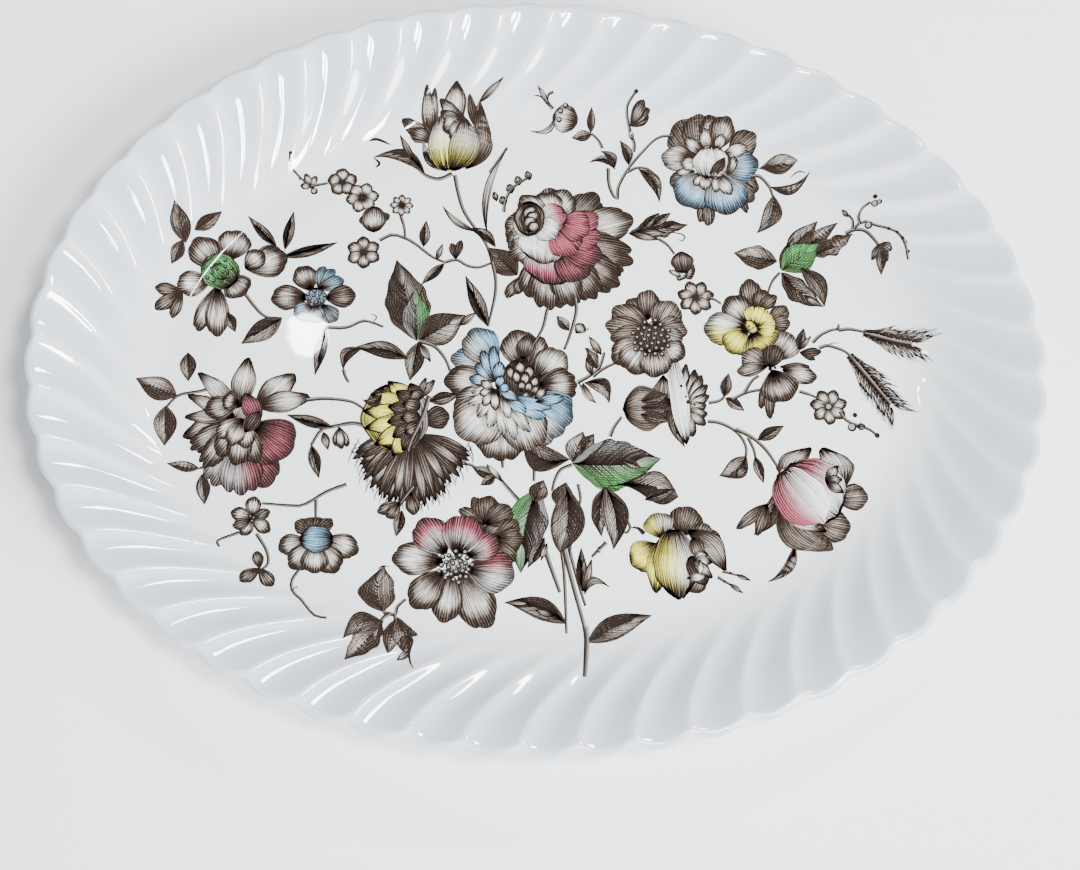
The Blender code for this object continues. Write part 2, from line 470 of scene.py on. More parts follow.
def printed_spray(name, plate):
    """The two skins of one spray: its half tone and its cut lines."""
    grids, colours = {}, {}
    for places, paint in plate["tones"]:
        grids.setdefault(places.shape[:2], []).append(places)
        colours.setdefault(places.shape[:2], []).append(paint)
    tone = lay_strips(name + "_tone", grids, colours)
    tone.data.materials.append(painted_tone)
    grids = {}
    for path, half, coats, pitch in plate["lines"]:
        steps = np.hypot(*np.diff(path, axis=0).T)
        run = np.concatenate([[0.0], np.cumsum(steps)])
        cells = next((c for c in LINE_CELLS if c * pitch >= run[-1]), LINE_CELLS[-1])
        at = np.linspace(0.0, run[-1], cells + 1)
        x, y, w = (np.interp(at, run, v) for v in (path[:, 0], path[:, 1], half))
        along = np.stack([np.gradient(x), np.gradient(y)], -1)
        along /= np.maximum(np.hypot(along[:, 0], along[:, 1]), 1e-9)[:, None]
        left = np.stack([x - along[:, 1] * w, y + along[:, 0] * w, np.full(len(x), coats)], -1)
        right = np.stack([x + along[:, 1] * w, y - along[:, 0] * w, np.full(len(x), coats)], -1)
        grids.setdefault((cells + 1, 2), []).append(np.stack([left, right], 1))
    ink = lay_strips(name + "_ink", grids)
    ink.data.materials.append(sepia_ink)
    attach(tone, "root")
    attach(ink, "root")


# The half tone's fine hatching is a sine along the tint's alpha, which counts its cycles.
painted_tone = bpy.data.materials.new("half_tone_and_colour_under_glaze")
painted_tone.use_nodes = True
nodes, links = painted_tone.node_tree.nodes, painted_tone.node_tree.links
shader = nodes["Principled BSDF"]
shader.inputs["Roughness"].default_value = GLAZE_ROUGHNESS
tint = nodes.new("ShaderNodeAttribute")
tint.attribute_name = "tint"
place = nodes.new("ShaderNodeTexCoord")
grain = nodes.new("ShaderNodeTexNoise")
grain.inputs["Scale"].default_value = GRAIN_SCALE
grain.inputs["Detail"].default_value = 1.0
links.new(place.outputs["Object"], grain.inputs["Vector"])
wander = nodes.new("ShaderNodeMath")
wander.operation = "MULTIPLY_ADD"
wander.inputs[1].default_value = HATCH_WANDER
links.new(grain.outputs["Fac"], wander.inputs[0])
cycles = nodes.new("ShaderNodeMath")
cycles.operation = "MULTIPLY"
cycles.inputs[1].default_value = 2.0 * math.pi
links.new(tint.outputs["Alpha"], cycles.inputs[0])
links.new(cycles.outputs["Value"], wander.inputs[2])
cut = nodes.new("ShaderNodeMath")
cut.operation = "SINE"
links.new(wander.outputs["Value"], cut.inputs[0])
depth = nodes.new("ShaderNodeMapRange")
depth.inputs["From Min"].default_value = -1.0
depth.inputs["To Min"].default_value = HATCH_PALE
depth.inputs["To Max"].default_value = HATCH_DARK
links.new(cut.outputs["Value"], depth.inputs["Value"])
hatched = nodes.new("ShaderNodeGamma")
links.new(tint.outputs["Color"], hatched.inputs["Color"])
links.new(depth.outputs["Result"], hatched.inputs["Gamma"])
links.new(hatched.outputs["Color"], shader.inputs["Base Color"])

sepia_ink = bpy.data.materials.new("sepia_ink_under_glaze")
sepia_ink.use_nodes = True
shader = sepia_ink.node_tree.nodes["Principled BSDF"]
shader.inputs["Base Color"].default_value = SEPIA
shader.inputs["Roughness"].default_value = GLAZE_ROUGHNESS


def new_plate(seed):
    """An empty copper plate: its half tone, its cut lines, what is laid, and its own chance."""
    return {"tones": [], "lines": [], "laid": [], "chance": np.random.RandomState(seed)}


def coats_under(plate, path):
    """The coat a new shape is laid at, two above any whose bounds it meets; it is noted as laid."""
    low, high = path.reshape(-1, 2).min(0), path.reshape(-1, 2).max(0)
    under = [c for a, b, c in plate["laid"] if (a < high).all() and (b > low).all()]
    coats = max(under, default=0) + 2
    plate["laid"].append((low, high, coats))
    return coats


def curve_through(points):
    """A smooth run of plan points through a few given ones."""
    path = np.array(points, float)
    if len(path) > 2:
        fine = np.linspace(0, len(path) - 1, 6 * len(path))
        padded = np.concatenate([[2 * path[0] - path[1]], path, [2 * path[-1] - path[-2]]])
        i = np.minimum(fine.astype(int), len(path) - 2)
        t = (fine - i)[:, None]
        a, b, c, d = padded[i], padded[i + 1], padded[i + 2], padded[i + 3]
        bend = (2 * a - 5 * b + 4 * c - d) * t**2 + (3 * b - a - 3 * c + d) * t**3
        path = 0.5 * (2 * b + (c - a) * t + bend)
    else:
        path = path[0] + (path[1] - path[0]) * np.linspace(0, 1, 5)[:, None]
    return path


def line(plate, points, width, taper="both"):
    """One cut line through points; it swells to its width and fades at its tapered ends."""
    path = curve_through(points)
    t = np.linspace(0.0, 1.0, len(path))
    swell = {"both": np.sin(math.pi * t) ** 0.6, "end": (1.0 - t) ** 0.7, "start": t**0.7}[taper]
    half = np.maximum(width * swell, FINEST_LINE) / 2.0
    plate["lines"].append((path, half, coats_under(plate, path), LINE_PITCH))


def dot(plate, x, y, size):
    """A round dot, cut as one short fat line."""
    t = np.linspace(-1.0, 1.0, 7)
    path = np.stack([x + size / 2.0 * t, y + 0.0 * t], -1)
    half = np.maximum(size / 2.0 * np.sqrt(1.0 - t * t), 0.02)
    plate["lines"].append((path, half, coats_under(plate, path), DOT_PITCH))


def stem(plate, points, width=0.8):
    """A stalk: a brown strip, lighter along one side, between two cut lines."""
    path = curve_through(points)
    steps = np.hypot(*np.diff(path, axis=0).T)
    run = np.concatenate([[0.0], np.cumsum(steps)])
    at = np.linspace(0.0, run[-1], STEM_CELLS[0] * max(1, round(run[-1] / 24.0)) + 1)
    path = np.stack([np.interp(at, run, path[:, 0]), np.interp(at, run, path[:, 1])], -1)
    along = np.gradient(path, axis=0)
    along /= np.hypot(along[:, 0], along[:, 1])[:, None]
    half = (0.22 + 0.30 * width) * (1.0 + 0.25 * np.linspace(1.0, -1.0, len(path)))
    aside = np.stack([-along[:, 1], along[:, 0]], -1) * half[:, None]
    coats = coats_under(plate, path)
    v = np.linspace(-1.0, 1.0, STEM_CELLS[1] + 1)
    for first in range(0, len(path) - 1, STEM_CELLS[0]):
        part = slice(first, first + STEM_CELLS[0] + 1)
        spots = path[part, None] + v[:, None] * aside[part, None]
        shade = (0.62 - 0.38 * v + 0.0 * spots[..., 0])[..., None] ** 1.5
        colour = PAPER ** (1.0 - shade) * HALF_TONE**shade
        plate["tones"].append((np.concatenate([spots, coats + 0.0 * shade], -1),
                               np.concatenate([colour, 0.0 * shade], -1)))
    plate["lines"].append((path - aside, 0.20 + 0.0 * half, coats + 1, LINE_PITCH))
    plate["lines"].append((path + aside, 0.12 + 0.0 * half, coats + 1, LINE_PITCH))


def ring(plate, x, y, size=1.3):
    """A stamen: a pale dot with a dark outline, thicker on the shaded side."""
    t = np.linspace(0.0, 2.0 * math.pi, 11)
    path = np.stack([x + size / 2.0 * np.cos(t), y + size / 2.0 * np.sin(t)], -1)
    coats = coats_under(plate, path)
    across, along = (np.linspace(-1.0, 1.0, cells + 1) for cells in TINY_CELLS)
    u, v = np.meshgrid(across, along, indexing="ij")
    half = size / 2.0 * np.maximum(np.sqrt(1.0 - u * u), 0.03)
    grid = np.stack([x + size / 2.0 * u, y + half * v, coats + 0.0 * u], -1)
    colour = np.concatenate([RING_PAPER + 0.0 * grid, 0.0 * grid[..., :1]], -1)
    plate["tones"].append((grid, colour))
    plate["lines"].append((path, 0.26 + 0.10 * np.sin(t + 2.6), coats + 1, DOT_PITCH))


def blade_points(shape, u, v):
    """Plan points of a petal or leaf: u runs from its root to its tip, v across it from -1 to 1."""
    root, tip = np.array(shape["root"], float), np.array(shape["tip"], float)
    reach = np.hypot(*(tip - root))
    ahead = (tip - root) / reach
    aside = np.array((-ahead[1], ahead[0]))
    blunt, belly = shape["blunt"], shape["belly"]
    power = math.log(0.5) / math.log(belly)
    pointed = np.sin(math.pi * np.clip(u, 0.0, 1.0) ** power) ** shape["full"]
    fanned = np.sin(math.pi / 2.0 * np.clip(u, 0.0, 1.0)) ** 0.8
    half = shape["width"] / 2.0 * ((1.0 - blunt) * pointed + blunt * fanned)
    half = np.maximum(half, 0.03)
    count, depth = shape["waves"]
    half = half * (1.0 + (1.0 - blunt) * depth * np.sin(2.0 * math.pi * count * u + np.sign(v)))
    along = reach * u * (1.0 - blunt * 0.36 * np.abs(v) ** 3.0)
    lobes = np.abs(np.cos(math.pi / 2.0 * count * v + shape["phase"])) ** 0.6
    along = along * (1.0 - blunt * depth * 2.0 * (1.0 - lobes) * u**3)
    sway = shape["bow"] * reach * 4.0 * u * (1.0 - u) + shape["hook"] * reach * u**3
    offset = v * half + sway
    return root + along[..., None] * ahead + offset[..., None] * aside


ROOT_DARK_REACH = 0.38
TIP_DARK_REACH = 0.2
SIDE_FALL = 3.0
VEINED_SOFT_FALL = 0.55
VEINED_HARD_FALL = 3.5
SHADE_BEND = 1.3
STRONGEST_WASH = 0.92
UNDER_WASH = 0.16
VEINED_LENGTH = 14.0
USUAL_WIDTH = 7.5
WIDEST_COUNTED = 22.0


def blade(plate, root, tip, width, blunt=0.0, belly=0.5, bow=0.0, hook=0.0, waves=(0, 0.0), full=0.85,
          dark=(0.8, 0.5, 0.4, 0.4), base=0.1, wash="", cuts=(9, 0.45, 9, 0.25), vein=False, edge=0.22):
    """A petal or leaf: half tone with a colour wash, cut lines from root and tip, and an outline.

    dark is the half tone at the root, the tip, the left and the right edge. wash names a
    colour and where it is strongest. cuts is how many lines start at the root of a petal of
    the usual width and how far they reach, then the same for the tip.
    """
    chance = plate["chance"]
    shape = {"root": root, "tip": tip, "width": width, "blunt": blunt, "belly": belly, "bow": bow,
             "hook": hook, "waves": waves, "full": full, "phase": chance.uniform(-0.6, 0.6)}
    cells = BROAD_CELLS if width >= BROAD else SMALL_CELLS if width >= SMALL else TINY_CELLS
    lengthways, crossways = np.linspace(0.0, 1.0, cells[0] + 1), np.linspace(-1.0, 1.0, cells[1] + 1)
    u, v = np.meshgrid(lengthways, crossways, indexing="ij")
    places = blade_points(shape, u, v)
    coats = coats_under(plate, places)
    grid = np.concatenate([places, np.full(u.shape + (1,), float(coats))], -1)
    streaks = chance.uniform(-0.08, 0.16, cells[1] + 1)[None, :] + chance.uniform(-0.09, 0.09, u.shape)
    shade = base + dark[0] * np.exp(-((u / ROOT_DARK_REACH) ** 2))
    shade = shade + dark[1] * np.exp(-(((1.0 - u) / TIP_DARK_REACH) ** 2))
    fall = (SIDE_FALL, SIDE_FALL)
    if vein and dark[2] > dark[3]:
        fall = (VEINED_SOFT_FALL, VEINED_HARD_FALL)
    elif vein:
        fall = (VEINED_HARD_FALL, VEINED_SOFT_FALL)
    shade = shade + dark[2] * np.clip(v, 0, 1) ** fall[0] + dark[3] * np.clip(-v, 0, 1) ** fall[1] + streaks
    shade = np.clip(shade, 0.0, 1.0)[..., None] ** SHADE_BEND
    colour = PAPER + 0.0 * shade
    if wash:
        name, where = wash.split()
        spread = {"root": 1.0 - u, "tip": u, "left": (1.0 + v) / 2.0, "right": (1.0 - v) / 2.0,
                  "all": 1.0 + 0.0 * u}[where]
        amount = np.clip(1.7 * spread - 0.35, 0.0, STRONGEST_WASH)[..., None]
        colour = colour * (1.0 - amount) + WASHES[name] * amount
        dull = colour * UNDER_WASH + HALF_TONE * 0.5
    else:
        dull = HALF_TONE
    colour = colour ** (1.0 - shade) * dull**shade
    hatch = v * width / 2.0 / HATCH_PITCH + chance.uniform(0.0, 1.0)
    plate["tones"].append((grid, np.concatenate([colour, hatch[..., None]], -1)))

    def run(us, vs, wide, ends):
        us, vs = np.asarray(us, float), np.asarray(vs, float)
        half = np.maximum(wide * ends, FINEST_LINE) / 2.0
        plate["lines"].append((blade_points(shape, us, vs), half, coats + 1, LINE_PITCH))

    t = np.linspace(0.0, 1.0, 7)
    scale = min(width, WIDEST_COUNTED) / USUAL_WIDTH
    if vein:
        run(t * 0.94, 0.0 * t, 0.45, 1.0 - 0.8 * t)
        length = math.hypot(tip[0] - root[0], tip[1] - root[1]) / VEINED_LENGTH
        for side, weight in ((1.0, dark[2]), (-1.0, dark[3])):
            number = int(1 + cuts[0] * (0.5 + weight) * length)
            for k in range(number):
                start = 0.02 + 0.66 * (k + chance.uniform(0.0, 0.6)) / number
                s = t * chance.uniform(0.55, 0.98)
                run(start + 0.32 * s, side * s, 0.20 + 0.26 * weight, 1.0 - 0.6 * t)
            number = int(1 + cuts[2] * length)
            for k in range(number):
                start = 0.05 + 0.62 * (k + chance.uniform(0.0, 0.6)) / number
                s = 1.0 - t * chance.uniform(0.25, 0.5)
                run(start + 0.32 * s, side * s, 0.24 + 0.2 * weight, 1.0 - 0.8 * t)
    else:
        number = int(1 + cuts[0] * scale)
        for k in range(number):
            place = -0.92 + 1.84 * (k + chance.uniform(0.2, 0.8)) / number
            reach = cuts[1] * chance.uniform(0.5, 1.15)
            run(0.02 + (reach - 0.02) * t, place + 0.0 * t, chance.uniform(0.3, 0.5), 1.0 - 0.85 * t)
        number = int(1 + cuts[2] * scale)
        for k in range(number):
            place = -0.95 + 1.9 * (k + chance.uniform(0.2, 0.8)) / number
            reach = cuts[3] * chance.uniform(0.4, 1.3)
            run(1.0 - reach * t, place + 0.0 * t, chance.uniform(0.25, 0.46), 1.0 - 0.85 * t)
    if edge:
        s = np.linspace(0.0, 1.0, 17)
        run(s, -1.0 + 0.0 * s, edge * (0.6 + dark[3]), 0.5 + 0.5 * s)
        run(s, 1.0 + 0.0 * s, edge * (0.6 + dark[2]), 0.5 + 0.5 * s)
        if blunt > 0.0:
            run(1.0 + 0.0 * s, -1.0 + 2.0 * s, edge * (0.7 + 0.6 * dark[1]), 1.0 + 0.0 * s)


LOOKS = {
    "white": dict(base=0.0, dark=(0.8, 0.75, 0.4, 0.4), cuts=(10, 0.55, 13, 0.3)),
    "pale": dict(base=0.02, dark=(1.0, 0.95, 0.55, 0.55), cuts=(12, 0.65, 14, 0.32)),
    "edged": dict(base=0.06, dark=(0.7, 1.35, 0.8, 0.8), cuts=(10, 0.5, 17, 0.4)),
    "deep": dict(base=0.10, dark=(1.35, 1.2, 0.8, 0.8), cuts=(15, 0.8, 15, 0.35)),
    "brown": dict(base=0.46, dark=(0.7, 0.7, 0.5, 0.5), cuts=(13, 0.75, 13, 0.4)),
    "dark": dict(base=0.76, dark=(0.5, 0.4, 0.4, 0.4), cuts=(13, 0.8, 12, 0.5)),
}


def fan(plate, x, y, tips, look, wash="", **more):
    """Petals (tip x, tip y, width) from one root, the first one at the back."""
    rest = {"blunt": 1.0, "waves": (2, 0.04), **LOOKS[look], "wash": wash, **more}
    for tip_x, tip_y, width in tips:
        blade(plate, (x, y), (tip_x, tip_y), width, **rest)


def leaf(plate, x, y, tip_x, tip_y, width, shade=0.25, left=0.6, right=0.2, **more):
    """A pointed leaf with a midrib, one half darker than the other."""
    rest = {"dark": (0.6, 0.6, left + 0.25, right + 0.1), "base": shade * 0.7, "vein": width > 3.0,
            "cuts": (12, 0.6, 9, 0.3), "full": 1.1, "belly": 0.44}
    blade(plate, (x, y), (tip_x, tip_y), width, **{**rest, **more})


def blossom(plate, x, y, reach, count, look="edged", turn=0.0):
    """A small open flower seen from above: round petals and a dotted middle."""
    for k in range(count):
        angle = turn + 2.0 * math.pi * k / count
        tip_x, tip_y = x + reach * math.cos(angle), y + reach * math.sin(angle)
        fan(plate, x, y, [(tip_x, tip_y, 4.6 * reach / count)], look)
    dot(plate, x, y, reach * 0.28)


GOLDEN_ANGLE = 2.4


def stamens(plate, x, y, reach, count, size=1.3):
    """Ringed dots spread over a disc, each turned by the golden angle from the last."""
    for k in range(count):
        r, angle = reach * math.sqrt((k + 0.5) / count), GOLDEN_ANGLE * k
        ring(plate, x + r * math.cos(angle), y + r * math.sin(angle), size)


# The peony's petals, the back ones first: broad outer petals, a dark heart of rolled ones,
# and a ruff of narrow ones, some washed blue.
p = new_plate(1)
fan(p, -14, 3, [(-31, 5, 10), (-25, 15.5, 14)], "deep", "blue right", dark=(0.9, 1.0, 0.7, 0.2))
fan(p, -15, -3, [(-33, -4, 12)], "edged")
fan(p, -4, 1, [(2, 14, 9), (-8, 16.5, 14)], "deep", dark=(0.9, 0.9, 0.6, 0.5))
fan(p, -5, 5, [(-3, 14.5, 8)], "brown", blunt=0.6)
fan(p, 0, -3, [(9.5, 9, 13)], "pale", dark=(1.2, 0.6, 0.5, 0.3))
fan(p, 0, -5, [(15, -4, 14)], "deep", waves=(4, 0.04))
fan(p, -11, -15, [(-12, -33.5, 19)], "deep", dark=(1.0, 1.0, 0.5, 0.5), waves=(4, 0.04))
fan(p, -12, -9, [(-29, -14, 13)], "edged", dark=(1.2, 0.8, 0.4, 0.4))
fan(p, -12, -9, [(-26, -25.5, 20)], "white", dark=(1.3, 0.6, 0.4, 0.6))
fan(p, -5, -9, [(10, -23, 25)], "deep", "blue left", dark=(1.3, 0.9, 0.6, 0.4), waves=(4, 0.04))
fan(p, -8, -9, [(0, -29, 17)], "pale", dark=(1.3, 0.6, 0.4, 0.4), waves=(3, 0.04))
fan(p, -6, -11, [(-6.5, 5, 13)], "dark", blunt=0.0, full=0.5)
heart = [(-2, 3, 4), (-6, 4.6, 4), (-10, 2.4, 3.6), (0.6, -1, 3.4), (-3.6, 0.4, 3.4), (-7.4, 1, 3.2)]
for tip_x, tip_y, wide in heart:
    fan(p, 0.6 * tip_x - 2, tip_y - 5.5, [(tip_x, tip_y, wide)], "edged", blunt=0.7, edge=0.5)
for tip_x, tip_y, wide in ((1, -4.6, 3.2), (-2, -3.4, 3.2), (-5, -3, 3), (0.4, -8, 3), (-3, -7, 3)):
    fan(p, 0.6 * tip_x - 2, tip_y - 4.4, [(tip_x, tip_y, wide)], "deep", blunt=0.7, edge=0.5)
fan(p, -13, -7, [(-23, -8, 4), (-24, -12.5, 4), (-20.5, -17.5, 4.4), (-16, -21.5, 4.4)], "pale",
    dark=(1.3, 0.3, 0.4, 0.2))
fan(p, -12, -8, [(-11, -24, 4.6), (-6.5, -25.5, 4.6), (-1.5, -22.5, 4.6), (-9, -17.5, 3.6)], "pale",
    dark=(1.3, 0.3, 0.4, 0.2))
fan(p, -14, -3, [(-24, -3, 4.6), (-22, 2.5, 4.6)], "pale", "blue tip", edge=0.35)
fan(p, -14, -4, [(-20, 8, 4.4), (-16, 10, 4), (-13, 4, 4.2)], "pale", "blue all", edge=0.35)
fan(p, -11, -9.5, [(4, -17, 5), (6, -13, 4.8), (-3, -15, 4)], "pale", "blue all",
    dark=(1.3, 0.2, 0.5, 0.1), edge=0.35)
fan(p, -14, -6, [(-6, -10.3, 3.6), (-9, -6, 3.4), (-12, -1.5, 3.2)], "pale", "blue all", edge=0.35)
fan(p, -15, -7, [(-20, -8.5, 3.2), (-18.5, -13, 3.2), (-14, -14.5, 3.2), (-19.6, -3.6, 3)], "white",
    edge=0.35)
fan(p, 0, -11, [(10.5, -9, 4)], "pale", "blue all")
fan(p, 0, -10, [(3.6, -5.6, 3.4)], "edged")
printed_spray("peony", p)

# ---------------------------------------------------------------------------------------
# The leaves under the peony and the stalks that gather towards the lower edge. Printed in
# sepia under the glaze, and two of the leaves washed by hand with green enamel.

p = new_plate(2)
stem(p, [(11, -65), (12.4, -75), (13.7, -95)], 0.6)
stem(p, [(11.7, -64), (15, -76), (20, -93)], 1.3)
stem(p, [(13.5, -64), (17, -76), (20, -85)], 0.6)
stem(p, [(14.3, -60), (14.2, -68)], 0.4)
stem(p, [(5.5, -66), (8.5, -74), (11, -80.5)], 1.2)
stem(p, [(20.1, -92), (20.7, -97), (20.5, -104), (20.2, -111)], 1.7)
stem(p, [(16.3, -41), (17.3, -47), (15.5, -53)], 0.4)
stem(p, [(14, -34), (10, -36), (8, -40), (7.2, -44)], 0.8)
stem(p, [(0.6, -34), (0.6, -40.5)], 0.8)
stem(p, [(-10.8, -33), (-10.6, -36)], 0.8)
stem(p, [(-30, -35), (-23, -35), (-19, -37)], 0.6)
stem(p, [(-2.5, -50), (-8, -44), (-12, -39.5)], 1.0)
leaf(p, -13, -39.5, -21.5, -36, 4.4, 0.5)
leaf(p, -13, -39, -18.2, -42.6, 3.6, 0.5)
leaf(p, -10.5, -41, -16.5, -34.8, 2.2, 0.2)
leaf(p, 13, -32, -5, -23, 10, 0.5, 0.6, 0.5, bow=0.24, hook=-0.1)
leaf(p, 14, -33, 17.5, -21.5, 8.5, 0.2, 0.2, 0.6)
leaf(p, 17, -29, 21.5, -22.2, 5, 0.55, 0.5, 0.5)
leaf(p, 14, -33.5, 45.5, -32, 19, 0.3, 0.75, 0.4, wash="green right", bow=-0.03, hook=0.04, waves=(5, 0.05))
leaf(p, 32, -31.5, 38.5, -34.5, 3.4, 0.6)
leaf(p, 27, -41.5, 51.8, -41.5, 12, 0.4, 0.2, 0.7, belly=0.72, bow=0.06, hook=-0.12)
leaf(p, 40, -46, 51, -42, 4.2, 0.6)
leaf(p, 25.6, -42, 25, -60, 6.4, 0.3, 0.1, 0.6, bow=-0.06, waves=(2, 0.1))
leaf(p, 26.2, -42, 31, -64, 9.5, 0.35, 0.7, 0.2, bow=0.07, hook=-0.08)
leaf(p, 2, -43, -3, -74, 15, 0.3, 0.7, 0.2, wash="green right", bow=-0.05, waves=(3, 0.06))
leaf(p, 1, -48, 4, -40, 7, 0.6, 0.5, 0.5)
leaf(p, 10, -50, 12, -40.6, 8, 0.5, 0.5, 0.6)
leaf(p, 12, -42, 10.4, -66, 12, 0.35, 0.6, 0.4, bow=0.08, full=0.8, belly=0.54)
leaf(p, 5, -61, -0.5, -72, 4.2, 0.5)
leaf(p, 6, -63, 4, -69.3, 1.8, 0.5)
stem(p, [(26.8, -62), (24, -65), (21.8, -67.5)], 0.7)
line(p, [(24.5, -63.5), (23.6, -64.6)], 0.6)
line(p, [(25, -65.8), (23.4, -65.4)], 0.6)
leaf(p, 18.8, -80, 18, -64.3, 3.8, 0.6)
leaf(p, 19.3, -80, 21.7, -68.4, 3, 0.55)
leaf(p, 19.5, -81, 28, -78, 3, 0.6, bow=0.42)
leaf(p, 13.5, -91.5, -7.5, -83.3, 7.6, 0.35, 0.3, 0.7, bow=-0.07, hook=0.07)
leaf(p, 9, -89, 2.5, -87, 2, 0.5)
leaf(p, 21, -98, 43, -87.6, 8.4, 0.3, 0.7, 0.3, belly=0.42, bow=0.05)
leaf(p, 15.5, -3, 20, -10, 1, 0.2)
leaf(p, 17, -3, 22, -10.6, 2.8, 0.4, 0.6, 0.1, bow=-0.1)
leaf(p, 17.5, -3, 26.6, -10.5, 6, 0.3, 0.7, 0.2, bow=0.3)
stem(p, [(15, -3), (20, 0.3), (23, 3.5), (24.5, 9)], 0.8)
stem(p, [(20.5, -0.5), (24, 2.5), (28.5, 5)], 0.7)
leaf(p, 20.3, 0, 18, 6.6, 2.8, 0.7)
leaf(p, 22, 2.5, 18.5, 10, 4, 0.5)
stem(p, [(27.2, -23), (28.5, -19.5), (31.2, -15.3)], 0.8)
printed_spray("lower_leaves", p)

# ---------------------------------------------------------------------------------------
# The rose above the peony: nested cups, on a stalk of its own with narrow leaves and buds.
# Printed in sepia under the glaze, the inner cups washed by hand with rose enamel.

p = new_plate(3)
fan(p, 4, 54, [(2.5, 73.5, 14)], "white")
fan(p, 6, 54, [(21, 71.5, 14)], "brown")
fan(p, 8, 54, [(34, 62.4, 15)], "pale")
fan(p, 4, 52, [(34.6, 45, 17)], "deep", base=0.3, waves=(3, 0.06))
fan(p, -1, 56, [(-13.5, 58, 14), (-11.5, 48, 12)], "pale")
leaf(p, -8, 38, -19, 48.5, 10, 0.8, 0.3, 0.5)
fan(p, -6, 38, [(-12, 29, 4.6), (-8, 30.5, 4.4)], "brown")
fan(p, 1, 48, [(-4, 29.5, 11)], "deep")
fan(p, 8, 48, [(29.5, 35, 15), (21, 29.6, 13)], "deep", base=0.25, waves=(3, 0.06))
fan(p, 5, 48, [(4, 24.6, 17), (13, 26.4, 12)], "deep", waves=(4, 0.06))
fan(p, 4, 55, [(-10.4, 44.6, 14)], "pale", waves=(2, 0.06))
fan(p, 5, 52, [(4.6, 34.6, 24)], "pale", "rose tip", full=0.5, blunt=0.6, edge=0.35, waves=(4, 0.03))
fan(p, 6, 50, [(17, 37.6, 15), (22.6, 46, 13)], "deep", "rose all")
fan(p, 8, 55, [(22, 54, 12), (21, 63, 10)], "deep", "rose all", dark=(1.0, 0.2, 0.2, 0.2))
fan(p, 2, 58, [(-9.6, 51, 14)], "white", dark=(0.4, 0.3, 0.2, 0.2))
fan(p, 2, 60, [(1.6, 42.8, 22)], "white", full=0.5, blunt=0.6, edge=0.35, dark=(0.2, 0.35, 0.3, 0.1))
fan(p, 4, 58, [(13, 47.4, 14)], "pale", "rose all", dark=(0.5, 0.3, 0.5, 0.1))
fan(p, 6, 60, [(18, 57, 13)], "pale", "rose all", dark=(0.5, 0.3, 0.2, 0.4))
fan(p, 3, 61, [(10, 72.4, 12), (1, 71.4, 12), (-8.4, 69, 9)], "pale")
fan(p, -1, 60, [(9.4, 62.8, 13)], "white", "rose tip", full=0.5, blunt=0.6, edge=0.35,
    dark=(0.5, 0.1, 0.1, 0.4))
fan(p, -3, 60, [(6, 54, 10), (-9.6, 55.4, 9)], "white", dark=(0.8, 0.1, 0.1, 0.2))
fan(p, -4.2, 53.6, [(-4.6, 67.6, 11)], "edged", blunt=0.0, full=0.5, edge=0.6)
fan(p, -3.6, 55, [(-4.6, 66, 8)], "dark", blunt=0.0, full=0.5)
for x, y, size in ((-4.6, 64.6, 5.4), (-3.4, 62.6, 5), (-4.4, 60.6, 4.6), (-2.8, 58.6, 4)):
    fan(p, x + 1.6, y - 3, [(x - 1.4, y + 0.6, size)], "edged", blunt=0.5, full=0.5, edge=0.4)
stem(p, [(-17.5, 43), (-15.9, 36), (-16, 29), (-18, 17.5)], 0.7)
leaf(p, -16.5, 48.8, -27, 56, 4, 0.5, bow=-0.15)
leaf(p, -18, 17.5, -27, 37, 5.4, 0.35, 0.6, 0.2)
leaf(p, -20, 55, -13.6, 89, 2.8, 0.25, 0.5, 0.3, bow=0.1)
for x, y, size in ((-15, 68, 3.6), (-12.5, 73, 3.8), (-9.7, 76.4, 3.4), (-6, 78.6, 3.2), (-18, 69.6, 2.6)):
    fan(p, x + 1.2, y - 2.2, [(x, y + 1.6, size)], "brown", blunt=0.5)
stem(p, [(-14, 63), (-13.5, 68), (-11, 73), (-6, 77)], 0.45)
stem(p, [(3.4, 25), (1.9, 17.5), (-1.6, 10.6)], 0.6)
stem(p, [(13.4, 30), (14, 25), (13, 19.4), (11.3, 13), (10, 9.4)], 0.7)
leaf(p, 11.5, 17, 7, 22.5, 4, 0.3)
fan(p, 14, 16, [(16.8, 19.5, 4.4)], "edged")
line(p, [(16, 18), (18, 17.4), (19, 18.6)], 0.4)
leaf(p, 23.5, 8, 18.8, 15, 3, 0.5)
leaf(p, 22.5, 6.5, 17.5, 10.5, 3, 0.5)
leaf(p, 27, 82, 17.3, 84.5, 3.2, 0.4, bow=-0.3)
leaf(p, 27, 83, 21.5, 89.4, 3.6, 0.6, bow=-0.2)
stem(p, [(24.4, 82.5), (25, 75), (28, 69.4), (28.1, 74), (30, 79), (33.5, 85), (40, 93), (44, 95.5),
         (48, 95.6)], 0.7)
leaf(p, 32, 84, 28.5, 93.8, 4, 0.55, bow=-0.12)
stem(p, [(33.6, 89.5), (34, 92.5), (32.6, 96), (31, 102), (30.8, 106), (33.6, 110.5)], 0.7)
leaf(p, 33.2, 94, 32.2, 98, 2, 0.2)
dot(p, 33.9, 110.8, 1.8)
fan(p, 32.5, 99, [(39, 102.6, 4), (39, 105.4, 4.2), (36.8, 108, 4.6)], "edged", base=0.3)
stem(p, [(31.5, 81), (35, 83), (39, 82.8), (42, 80.5)], 0.45)
leaf(p, 35.8, 82.4, 45.4, 70.6, 5, 0.3, 0.2, 0.6, bow=0.12, hook=-0.15)
stem(p, [(22, 90.5), (20.5, 93.5), (17.8, 96.2)], 0.5)
leaf(p, 17.5, 96.4, 17.5, 105.6, 3.2, 0.5)
